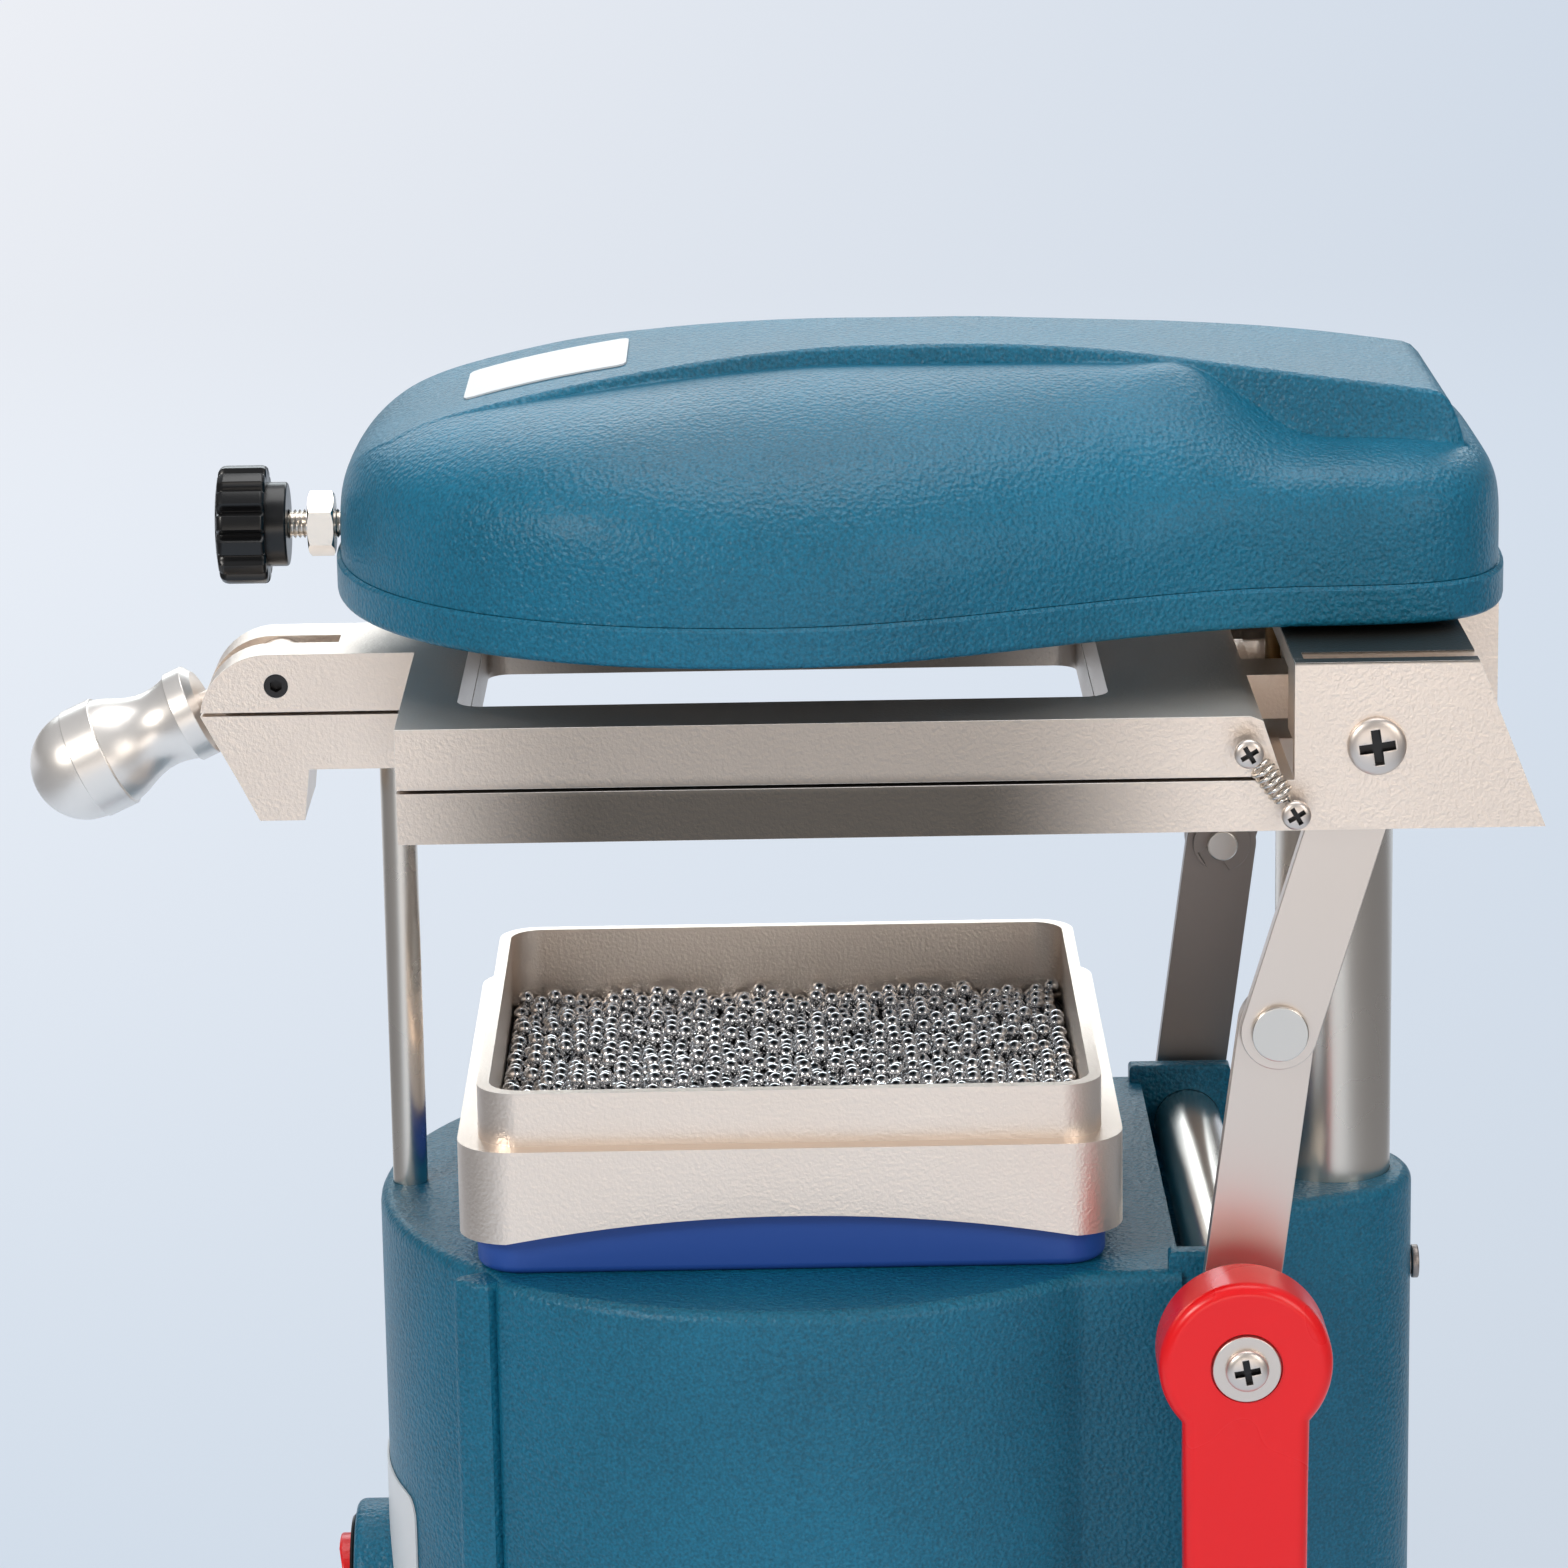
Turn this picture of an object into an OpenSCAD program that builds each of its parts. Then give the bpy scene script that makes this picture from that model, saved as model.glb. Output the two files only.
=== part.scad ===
// Dental vacuum former: a heater head on a post, a sheet frame that slides down
// over a bead cup, and a vacuum base. Millimetres, +Z up, origin on the ground
// below the middle of the cup. The front of the machine faces -Y and the lift
// lever is on the +X side.

/* [Base] */
// Height of the top of the base above the ground
base_h = 140; // [135:1:160]
// Radius of the side walls of the base
drum_r = 74; // [73:0.5:75]
// How far the front wall stands back from the round of the side walls
front_step = 3; // [2:0.5:4]
// Half width of the front wall
front_half = 50; // [46:1:54]
// Gap between the rear shoulders of the base and the crank arms
shoulder_gap = 1.3; // [1:0.1:1.8]
// Wall thickness of the cast base
base_wall = 3.2; // [2.4:0.1:4]
// Height of the rubber sole ring
sole_h = 4; // [3:0.5:8]
// Width of the rubber sole ring
sole_w = 8; // [6:0.5:12]
// Thickness of the bottom cover
cover_t = 2; // [1.5:0.1:3]

/* [Shaft trough] */
// Front wall of the trough that holds the lift shaft
trough_y0 = 64; // [63:0.1:65]
// Length of the trough, which ends with the shoulders
trough_len = 16.5; // [16:0.1:18]
// Depth of the trough below the top of the base
trough_depth = 18; // [17:0.5:24]
// Gap between the shaft ears and the crank arms
ear_gap = 2.6; // [2:0.1:3.1]
// Thickness of a shaft ear
ear_t = 4; // [3:0.1:5]
// Rise of the ears above the top of the base
ear_rise = 3; // [2:0.1:4]

/* [Posts] */
// Distance of the rear post behind the cup
post_y = 94; // [93.5:0.1:94.5]
// Diameter of the rear post
post_d = 20; // [18:0.5:21]
// Diameter of the post where the head turns on it
post_neck_d = 16; // [14:0.5:17]
// Radius of the round end of the rear column
column_r = 17.5; // [16.5:0.1:18.5]
// Distance of the front guide rod ahead of the cup
rod_y = -65.9; // [-66.1:0.1:-65.5]
// Diameter of the front guide rod
rod_d = 6; // [5:0.1:6.4]

/* [Cup] */
// Half width of the upper part of the bead cup
cup_half = 51.5; // [50.5:0.1:51.8]
// Half width of the skirt of the bead cup
skirt_half = 54.9; // [54.6:0.1:56]
// Wall thickness of the bead cup
cup_wall = 2; // [1.6:0.1:2.2]
// Height of the rim of the bead cup above the base
rim_h = 31; // [30.4:0.1:31.4]
// Drop from the rim to the ledge that the frame lands on
ledge_drop = 9; // [8:0.1:10]
// Gap between the base and the lower edge of the skirt
skirt_gap = 6.2; // [4:0.1:7]
// Rise of the arch in each side of the skirt
arch_rise = 4.2; // [3:0.1:5]
// Thickness of the silicone pad
pad_t = 10.6; // [9.6:0.1:11.2]
// Depth of the beads below the rim
bead_drop = 10.4; // [8:0.1:12]
// Corner radius of the cup in plan
cup_corner = 7; // [6:0.5:9]

/* [Frames] */
// Half width of both sheet frames
frame_half = 68; // [67.5:0.1:68.5]
// Half width of the square opening in the frames
opening_half = 52.5; // [52.3:0.1:53]
// Front edge of the sheet frames
frame_y0 = -61.6; // [-62:0.1:-61.2]
// Rear edge of the sheet frames
frame_y1 = 79; // [78.5:0.1:79.5]
// Height of the raised lower frame above the ledge of the cup
frame_rise = 55.7; // [54:0.1:58]
// Thickness of the lower frame
lower_t = 8.3; // [7:0.1:9]
// Gap that holds the sheet between the frames
sheet_gap = 0.6; // [0.4:0.1:1]
// Thickness of the upper frame
upper_t = 9.9; // [9:0.1:10.4]
// Half width of the latch tongue
tongue_half = 12; // [10:0.5:14]
// Width of the slot for the latch lever
latch_slot = 5.7; // [5:0.1:6.5]

/* [Carriage] */
// Thickness of the side plates of the carriage
plate_t = 3; // [2.6:0.1:3.2]
// Height of the carriage
carriage_h = 27.3; // [26.7:0.1:27.7]
// Front of the side plates
plate_y0 = 81; // [80.5:0.1:81.5]
// Rear of the side plates at the top
plate_y1 = 110.2; // [109:0.1:111]
// Rear of the side plates at the bottom
plate_y2 = 121; // [120:0.1:122]
// Gap between the carriage block and the crank arms
block_gap = 0.6; // [0.2:0.1:1.6]
// Rear face of the sleeve round the post
sleeve_y = 119.6; // [118:0.1:120]
// Diameter of the big pivot screw heads
pivot_head_d = 9.4; // [8:0.1:11]

/* [Lift] */
// Depth of the lift shaft below the top of the base
shaft_drop = 7.6; // [7:0.1:8]
// Distance of the lift shaft behind the cup
shaft_y = 72.6; // [72.2:0.1:73]
// Diameter of the lift shaft
shaft_d = 12; // [11:0.1:12.4]
// Length of the crank arms between centres
arm_len = 51.2; // [50.8:0.1:51.4]
// Lean of the crank arms to the rear at rest, in degrees
arm_lean = 7.4; // [7:0.1:8]
// Width of the crank arms and links
arm_w = 12.6; // [11:0.1:13]
// Thickness of the crank arms and links
arm_t = 3; // [2.6:0.1:3]
// Gap between the side plates, the links and the crank arms
side_gap = 0.7; // [0.6:0.05:0.75]
// Height of the link pivot above the underside of the lower frame
pivot_h = 13.7; // [13.3:0.1:14.3]
// Diameter of the red lever's hub
hub_d = 28; // [26:0.5:29]
// Thickness of the lever hub
hub_t = 12; // [10:0.5:13]
// How far the lever stands out from the side plates
lever_out = 14; // [13.6:0.1:16]
// Width of the lever handle
lever_w = 20.5; // [18:0.5:22]
// Length of the lever from the shaft to its end
lever_len = 108; // [95:1:115]
// Thickness of the lever handle
lever_t = 6.6; // [6:0.1:7]
// Chamfer round the outer face of the hub
hub_edge = 1.8; // [1:0.1:2.4]

/* [Head] */
// Height of the head above the underside of the lower frame
head_h = 28.5; // [28.3:0.1:29.3]
// Height of the skirt of the head
head_skirt_h = 6.6; // [6:0.1:7.5]
// Groove between the skirt and the cover
head_groove = 0.4; // [0.3:0.1:0.6]
// Half width of the head at its widest
head_half = 72.5; // [71:0.5:74]
// Half width of the head at the post
neck_half = 48; // [46:0.5:50]
// Front of the head
head_y0 = -74.6; // [-75:0.1:-74]
// Rear of the head
head_y1 = 119.6; // [119:0.1:121]
// Height of the crest of the lobes above the underside of the head
lobe_h = 39.8; // [37.8:0.5:41.8]
// Height of the rear shoulders above the underside of the head
tail_h = 27.3; // [26.3:0.5:28.3]
// Height of the spine above the underside of the head
spine_h = 41.5; // [40.7:0.1:43.5]
// Wall thickness of the head
head_wall = 3; // [2.4:0.1:3.4]
// Radius of the opening under the heater
heater_r = 56; // [54:0.5:57]

/* [Handles] */
// Height of the knob's stud above the underside of the head
knob_h = 10.2; // [9.8:0.1:10.8]
// Diameter of the knob
knob_d = 20; // [18:0.5:21]
// Diameter of the knob's stud
stud_d = 5; // [4:0.1:6]
// Distance of the latch pin ahead of the cup
latch_y = -85; // [-85.4:0.1:-84.6]
// Height of the latch pin above the underside of the lower frame
latch_h = 13.4; // [13.1:0.1:13.7]
// Angle of the ball handle below level
handle_dip = 25; // [22:0.5:28]
// Diameter of the ball handle
ball_d = 19.6; // [18:0.1:21]

/* [Fits] */
// Radial play of a shaft or pin in its bore
run_gap = 0.06; // [0.03:0.01:0.1]
// Play round a loose part in its seat
seat_gap = 0.3; // [0.2:0.05:0.4]

/* [Hidden] */
$fn = 96;

// Places of the lift train across the machine, from the side plates inward
plate_x = frame_half - plate_t;
link_x = plate_x - side_gap - arm_t;
arm_x = link_x - side_gap - arm_t;
block_half = arm_x - block_gap;
lever_x = frame_half + lever_out;

// Base
front_r = drum_r - front_step;
shoulder_half = arm_x - shoulder_gap;
ear_half = arm_x - ear_gap;
trough_y1 = trough_y0 + trough_len;
cover_z = sole_h + cover_t;
trough_z = base_h - trough_depth;
shaft_z = base_h - shaft_drop;
top_t = 3.5;
port_r = 12;
set_screw_z = base_h - 17.8;
pod_r = 14.5;
pod_y = -front_r - 6.4;
pod_z = [base_h * 33 / 70, base_h * 15 / 70];
switch_back = pod_y + 7.9;
rocker_r = 9.4;
rocker_pin_r = 1.2;
rocker_pin_y = pod_y + 2.8;
label_half = 30;
label_z0 = base_h * 6 / 70;
label_z1 = base_h * 46 / 70;
label_t = 0.4;
inlet_w = shoulder_half - 29.3;
inlet_x = -shoulder_half + 2.3 + inlet_w / 2;
inlet_z = base_h * 15 / 70;
inlet_h = 19.8;
cover_screw_r = drum_r - 10.5;
cover_screw_angles = [35, 145, 215, 325];
motor_r = drum_r - 30;
motor_h = 0.45 * base_h - 1;
fan_h = 14;

// A pilaster at each end of the front wall: its outer corner, and where it meets
// the side wall and the front wall
pilaster = [
  [front_half + 1.4, -sqrt(drum_r * drum_r - front_half * front_half) - 1.25],
  [front_half + 6, -sqrt(drum_r * drum_r - pow(front_half + 6, 2)) - 0.13],
  [front_half - 6, -sqrt(front_r * front_r - pow(front_half - 6, 2)) + 5.72]
];

// Heights of the cup and the frames
rim_z = base_h + rim_h;
ledge_z = rim_z - ledge_drop;
skirt_z = base_h + skirt_gap;
frame_z = ledge_z + frame_rise;
lower_top = frame_z + lower_t;
upper_z = lower_top + sheet_gap;
upper_top = upper_z + upper_t;
carriage_z = frame_z + carriage_h;
pivot_z = frame_z + pivot_h;
latch_z = frame_z + latch_h;
hinge_y = plate_y0 + 5;
hinge_z = frame_z + 14.5;
hinge_r = 2;

// Linkage: knee at rest, link length and its lean
knee_y = shaft_y + arm_len * sin(arm_lean);
knee_z = shaft_z + arm_len * cos(arm_lean);
link_len = norm([post_y - knee_y, pivot_z - knee_z]);
link_lean = atan2(post_y - knee_y, pivot_z - knee_z);
pin_r = 2.75;

// Head
head_z = frame_z + head_h;
lobe_z = head_z + lobe_h;
shoulder_z = head_z + tail_h;
spine_z = head_z + spine_h;
knob_z = head_z + knob_h;
skirt_top = head_z + head_skirt_h;
lip_z = skirt_top + head_groove;
lip_in = 0.8;
front_pow = 2.2;
tail_pow = 4.5;
tail_y = head_y1 - 41.6;
side_pow = 2.6;
side_steps = 9;
waist_half = 15;
lobe_dip = 3;
floor_t = 2.5;
neck_z = head_z + 0.2;
neck_h = 15.8;
plate_r = heater_r - 10;

// Ball handle's flange: its rear face, and its lowest point at rest
flange_r = 8;
flange_z = 14.3;
flange_back = latch_y - flange_z * cos(handle_dip) + flange_r * sin(handle_dip);
flange_low = latch_z - flange_z * sin(handle_dip) - flange_r * cos(handle_dip);

// Carriage spring
screw_a = [plate_y0 - 7.6, frame_z + 13.8];
screw_b = [plate_y0 - 0.1, frame_z + 3.7];
screw_neck_r = 1.2;
spring_x = frame_half + 2.5;
wire_r = 0.32;
coil_r = 1.7;
curls = 6;
rings_per_curl = 8;
wire_sides = 6;

steel = [0.80, 0.77, 0.74];
bright = [0.84, 0.83, 0.82];
teal = [0.16, 0.40, 0.53];
red = [0.86, 0.10, 0.13];
black = [0.06, 0.06, 0.06];
rubber = [0.10, 0.10, 0.11];
silicone = [0.16, 0.32, 0.72];
white = [0.94, 0.94, 0.94];

// Helpers

// A square with round corners, centred, in plan
module round_square(half, r) {
  square([2 * half, 2 * (half - r)], center = true);
  square([2 * (half - r), 2 * half], center = true);
  for (sx = [-1, 1], sy = [-1, 1])
    translate([sx * (half - r), sy * (half - r)]) circle(r);
}

// A disc or rod along +X from x0 to x1
module rod_x(x0, x1, r, y, z) {
  translate([x0, y, z]) rotate([0, 90, 0]) cylinder(r = r, h = x1 - x0);
}

// A disc or rod along +Y from y0 to y1
module rod_y(y0, y1, r, x, z) {
  translate([x, y0, z]) rotate([-90, 0, 0]) cylinder(r = r, h = y1 - y0);
}

// A profile of [y, z] points swept along X from x0 to x1
module sweep_x(x0, x1) {
  translate([x0, 0, 0]) rotate([90, 0, 90]) linear_extrude(x1 - x0) children();
}

// A cross recess along +X
module cross_x(x, y, z, size, deep) {
  for (a = [0, 90])
    translate([x, y, z]) rotate([a + 12, 0, 0]) translate([-deep, -size / 2, -size / 7])
      cube([deep + 1, size, size * 2 / 7]);
}

// Base

module drum_plan(inset) {
  difference() {
    circle(drum_r - inset, $fn = 180);
    translate([-front_half - inset, -drum_r - 1]) square([2 * (front_half + inset), 0.46 * drum_r]);
  }
  difference() {
    circle(front_r - inset, $fn = 180);
    translate([-drum_r, 0]) square([2 * drum_r, drum_r]);
  }
}

module column_plan(inset) {
  translate([0, post_y - 3.8]) circle(column_r - inset);
  polygon([
    [-29.3 + inset, trough_y0], [29.3 - inset, trough_y0],
    [16.3 - inset, post_y + 2.5], [-16.3 + inset, post_y + 2.5]
  ]);
}

module full_plan(inset) {
  drum_plan(inset);
  column_plan(inset);
  translate([-shoulder_half + inset, 0]) square([2 * (shoulder_half - inset), trough_y1 - inset]);
}

// The outside of the base in plan, with a pilaster at each end of its front wall
module base_plan() {
  full_plan(0);
  for (s = [-1, 1]) polygon([for (p = pilaster) [s * p[0], p[1]]]);
}

module base_housing() color(teal) {
  difference() {
    union() {
      difference() {
        translate([0, 0, cover_z]) linear_extrude(base_h - cover_z) base_plan();
        // hollow under the top, ahead of the trough
        translate([0, 0, cover_z - 1]) linear_extrude(base_h - top_t - cover_z + 1) difference() {
          drum_plan(base_wall);
          translate([-drum_r, trough_y0 - base_wall]) square([2 * drum_r, drum_r]);
        }
        // hollow under the trough
        translate([-shoulder_half + base_wall, 0, cover_z - 1])
          cube([2 * (shoulder_half - base_wall), trough_y1 - base_wall,
            trough_z - top_t - cover_z + 1]);
        // the trough
        translate([-shoulder_half - 1, trough_y0, trough_z])
          cube([2 * shoulder_half + 2, trough_y1 - trough_y0, base_h]);
      }
      // shaft ears
      for (s = [-1, 1])
        translate([s * (ear_half - ear_t / 2) - ear_t / 2, trough_y0 - 1, trough_z - 2])
          cube([ear_t, trough_y1 - trough_y0 + 1, base_h + ear_rise - trough_z + 2]);
      // boss of the guide rod, kept inside the front wall
      translate([0, rod_y + 1.5, 62]) cylinder(r = 6, h = base_h - 63);
      // switch pods on the front wall
      for (z = pod_z) rod_y(pod_y, -front_r + base_wall + 3, pod_r, 0, z);
      // bosses for the screws of the bottom cover
      for (a = cover_screw_angles)
        rotate([0, 0, a]) translate([cover_screw_r, 0, cover_z + 0.5]) cylinder(r = 8.6, h = 22);
    }
    // bores of the lift shaft
    rod_x(-shoulder_half - 1, shoulder_half + 1, shaft_d / 2 + run_gap, shaft_y, shaft_z);
    // seat of the rear post
    translate([0, post_y, 30]) cylinder(r = post_d / 2 + run_gap, h = base_h);
    // guide bore with a wider run below it
    translate([0, rod_y, 60]) cylinder(r = rod_d / 2 + run_gap, h = base_h);
    translate([0, rod_y, 60]) cylinder(r = rod_d / 2 + 0.5, h = base_h - 80);
    // suction port
    translate([0, 0, base_h - 10]) cylinder(r = port_r + seat_gap, h = 20);
    // switch openings
    for (z = pod_z) rod_y(pod_y - 1, switch_back + 0.1, rocker_r + 1.2 + seat_gap, 0, z);
    // rear panel opening for the mains inlet
    translate([inlet_x - inlet_w / 2 - seat_gap, trough_y1 - 13, inlet_z - inlet_h / 2 - seat_gap])
      cube([inlet_w + 2 * seat_gap, 20, inlet_h + 2 * seat_gap]);
    // set screw of the post
    rod_y(post_y, post_y + 30, 2 + seat_gap, 0, set_screw_z);
    // threads of the cover screws
    for (a = cover_screw_angles)
      rotate([0, 0, a]) translate([cover_screw_r, 0, cover_z - 1]) cylinder(r = 1.8, h = 16);
  }
}

module bottom_cover() color(steel) {
  difference() {
    translate([0, 0, sole_h]) linear_extrude(cover_t) full_plan(1);
    for (a = cover_screw_angles)
      rotate([0, 0, a]) translate([cover_screw_r, 0, 0]) cylinder(r = 1.8, h = 20);
    // vents under the motor
    for (i = [-3:3])
      translate([i * 9 - 1.6, -26, 0]) cube([3.2, 52, 20]);
  }
}

module cover_screws() color(bright) {
  for (a = cover_screw_angles)
    rotate([0, 0, a]) translate([cover_screw_r, 0, 0]) {
      translate([0, 0, sole_h - 1.6]) cylinder(r = 3.2, h = 1.6);
      translate([0, 0, sole_h]) cylinder(r = 1.5, h = 14);
    }
}

module sole_ring() color(rubber) {
  difference() {
    linear_extrude(sole_h) full_plan(1);
    translate([0, 0, -1]) linear_extrude(sole_h + 2) full_plan(1 + sole_w);
    for (a = cover_screw_angles)
      rotate([0, 0, a]) translate([cover_screw_r, 0, -1]) cylinder(r = 4, h = 20);
  }
}

module rear_post() color(bright) {
  difference() {
    union() {
      translate([0, post_y, 30]) cylinder(r = post_d / 2, h = neck_z - 30);
      translate([0, post_y, neck_z]) cylinder(r = post_neck_d / 2, h = neck_h);
    }
    translate([0, post_y, neck_z]) cylinder(r = 2.6, h = 20);
  }
}

module post_set_screw() color(steel) {
  head_y = post_y + column_r - 3.6;
  rod_y(post_y + post_d / 2 + 0.05, head_y, 2, 0, set_screw_z);
  rod_y(head_y, head_y + 1.2, 2.9, 0, set_screw_z);
}

module head_washer() color(steel) {
  translate([0, post_y, neck_z + neck_h]) difference() {
    cylinder(r = post_neck_d / 2 + 3, h = 1.6);
    translate([0, 0, -1]) cylinder(r = 2.7, h = 5);
  }
}

module head_bolt() color(bright) {
  translate([0, post_y, neck_z + neck_h + 1.6]) {
    cylinder(r = 5, h = 3, $fn = 6);
    translate([0, 0, 0.8 - neck_h]) cylinder(r = 2.5, h = neck_h - 0.8);
  }
}

module front_label() color(white) {
  difference() {
    intersection() {
      difference() {
        cylinder(r = front_r + 0.05 + label_t, h = base_h - 20, $fn = 180);
        translate([0, 0, -1]) cylinder(r = front_r + 0.05, h = base_h, $fn = 180);
      }
      translate([0, 0, (label_z0 + label_z1) / 2]) rotate([90, 0, 0]) linear_extrude(drum_r + 10) {
        square([2 * label_half, label_z1 - label_z0 - 8], center = true);
        square([2 * label_half - 8, label_z1 - label_z0], center = true);
        for (sx = [-1, 1], sz = [-1, 1])
          translate([sx * (label_half - 4), sz * ((label_z1 - label_z0) / 2 - 4)]) circle(4);
      }
    }
    for (z = pod_z) rod_y(pod_y, -front_r / 2, pod_r + 0.2, 0, z);
  }
}

// A round switch body with the slot of its rocker
module switch_body(z) {
  color(black) difference() {
    union() {
      rod_y(pod_y, switch_back, rocker_r + 1.2, 0, z);
      rod_y(pod_y - 0.8, pod_y, rocker_r + 2.4, 0, z);
    }
    rod_y(pod_y - 2, pod_y + 6, rocker_r + seat_gap, 0, z);
    rod_x(-20, 20, rocker_pin_r + run_gap, rocker_pin_y, z);
  }
}

module heat_switch_body() switch_body(pod_z[0]);
module vacuum_switch_body() switch_body(pod_z[1]);

// A round rocker that tilts about a pin along X
module rocker(z) {
  color(red) difference() {
    union() {
      rod_y(pod_y - 2.6, pod_y + 4, rocker_r - 0.9, 0, z);
      rod_x(-rocker_r - 0.6, rocker_r + 0.6, rocker_pin_r, rocker_pin_y, z);
    }
    // the face is dished, so one end stands out
    rod_x(-12, 12, 34, pod_y - 35.2, z - 3);
  }
}

module heat_rocker() rocker(pod_z[0]);
module vacuum_rocker() rocker(pod_z[1]);

module mains_inlet() color(black) {
  translate([inlet_x, trough_y1, inlet_z]) difference() {
    union() {
      translate([-inlet_w / 2, -12, -inlet_h / 2]) cube([inlet_w, 12, inlet_h]);
      translate([-inlet_w / 2 - 2, 0, -inlet_h / 2 - 2]) cube([inlet_w + 4, 2, inlet_h + 4]);
    }
    translate([-inlet_w / 2 + 2, -10.5, -inlet_h / 2 + 2]) cube([inlet_w - 4, 20, inlet_h - 4]);
  }
}

module inlet_pins() color(bright) {
  for (p = [[-7, -2], [7, -2], [0, 3]])
    translate([inlet_x + p[0] - 1, trough_y1 - 10.5, inlet_z + p[1] - 2]) cube([2, 7.4, 4]);
}

module vacuum_motor() color(black) {
  translate([0, 0, cover_z]) {
    cylinder(r = motor_r, h = motor_h);
    translate([0, 0, motor_h]) cylinder(r = motor_r - 14, h = fan_h);
  }
}

module suction_duct() color(rubber) {
  difference() {
    translate([0, 0, cover_z + motor_h + fan_h]) union() {
      cylinder(r = port_r, h = base_h - cover_z - motor_h - fan_h);
      cylinder(r = port_r + 6, h = 3);
    }
    translate([0, 0, cover_z + motor_h]) cylinder(r = port_r - 3, h = base_h);
  }
}

module silicone_pad() color(silicone) {
  difference() {
    translate([0, 0, base_h]) linear_extrude(pad_t)
      round_square(skirt_half - cup_wall - 0.5, cup_corner);
    translate([0, 0, base_h - 1]) cylinder(r = port_r - 3, h = pad_t + 2);
  }
}

module bead_cup() color(steel) {
  floor_z = base_h + pad_t;
  difference() {
    union() {
      translate([0, 0, floor_z]) linear_extrude(rim_z - floor_z) round_square(cup_half, cup_corner);
      translate([0, 0, skirt_z]) linear_extrude(ledge_z - skirt_z) round_square(skirt_half, cup_corner + 2);
    }
    // bead space
    translate([0, 0, floor_z + 2]) linear_extrude(rim_h)
      round_square(cup_half - cup_wall, cup_corner - cup_wall + 0.5);
    // room for the pad inside the skirt
    translate([0, 0, skirt_z - 1]) linear_extrude(floor_z - skirt_z + 1)
      round_square(skirt_half - cup_wall, cup_corner);
    // an arch in each side of the skirt
    arch_half = skirt_half - 8;
    arch_r = (arch_half * arch_half + arch_rise * arch_rise) / (2 * arch_rise);
    for (a = [0, 90])
      rotate([0, 0, a]) translate([0, -skirt_half - 1, skirt_z + arch_rise - arch_r])
        rotate([-90, 0, 0]) cylinder(r = arch_r, h = 2 * skirt_half + 2, $fn = 180);
    // air holes in the floor
    for (a = [0:45:315])
      rotate([0, 0, a]) translate([5.5, 0, floor_z - 1]) cylinder(r = 0.8, h = 4);
  }
}

module steel_beads() color(bright) {
  floor_z = base_h + pad_t + 2;
  translate([0, 0, floor_z]) linear_extrude(rim_z - bead_drop - floor_z)
    round_square(cup_half - cup_wall - 0.1, cup_corner - cup_wall + 0.5);
}

// Lift linkage

// A flat bar between two points of the YZ plane, with round ends
module bar_x(x, y0, z0, y1, z1) {
  len = norm([y1 - y0, z1 - z0]);
  lean = atan2(y1 - y0, z1 - z0);
  translate([x, y0, z0]) rotate([-lean, 0, 0]) {
    translate([0, -arm_w / 2, 0]) cube([arm_t, arm_w, len]);
    for (z = [0, len])
      translate([0, 0, z]) rotate([0, 90, 0]) cylinder(r = arm_w / 2, h = arm_t);
  }
}

module lift_shaft() color(bright) {
  difference() {
    rod_x(-arm_x - arm_t - 1, lever_x - 3.5, shaft_d / 2, shaft_y, shaft_z);
    rod_x(lever_x - 18, lever_x + 1, 2.1, shaft_y, shaft_z);
  }
}

module crank_arm(s) {
  color(steel) difference() {
    bar_x(s > 0 ? arm_x : -arm_x - arm_t, shaft_y, shaft_z, knee_y, knee_z);
    rod_x(-frame_half, frame_half, shaft_d / 2 + 0.05, shaft_y, shaft_z);
    rod_x(-frame_half, frame_half, pin_r + 0.05, knee_y, knee_z);
  }
}

module crank_arm_near() crank_arm(1);
module crank_arm_far() crank_arm(-1);

// The knee pin is fixed in the crank arm and the link turns on it
module knee_pin(s) {
  color(bright) difference() {
    if (s > 0) rod_x(arm_x - 1.6, link_x + arm_t, pin_r, knee_y, knee_z);
    else rod_x(-link_x - arm_t, -arm_x + 3, pin_r, knee_y, knee_z);
    // groove for the retaining clip
    if (s < 0) difference() {
      rod_x(-arm_x + 0.3, -arm_x + 1.3, pin_r + 1, knee_y, knee_z);
      rod_x(-arm_x, -arm_x + 2, pin_r - 0.5, knee_y, knee_z);
    }
  }
}

module knee_pin_near() knee_pin(1);
module knee_pin_far() knee_pin(-1);

module knee_clip_far() color(steel) {
  difference() {
    rod_x(-arm_x + 0.4, -arm_x + 1.2, 5.2, knee_y, knee_z);
    rod_x(-arm_x, -arm_x + 2, pin_r - 0.4, knee_y, knee_z);
    // open side of the clip
    translate([-arm_x, knee_y - 1.6, knee_z]) rotate([-150, 0, 0]) cube([3, 3.2, 10]);
  }
}

module link_bar(s) {
  color(steel) difference() {
    bar_x(s > 0 ? link_x : -link_x - arm_t, knee_y, knee_z, post_y, pivot_z);
    rod_x(-frame_half, frame_half, pin_r + run_gap, knee_y, knee_z);
  }
}

module link_near() link_bar(1);
module link_far() link_bar(-1);

module knee_head_near() color(bright) {
  rod_x(link_x + arm_t + 0.1, link_x + arm_t + 1.3, 4.6, knee_y, knee_z);
}

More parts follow.
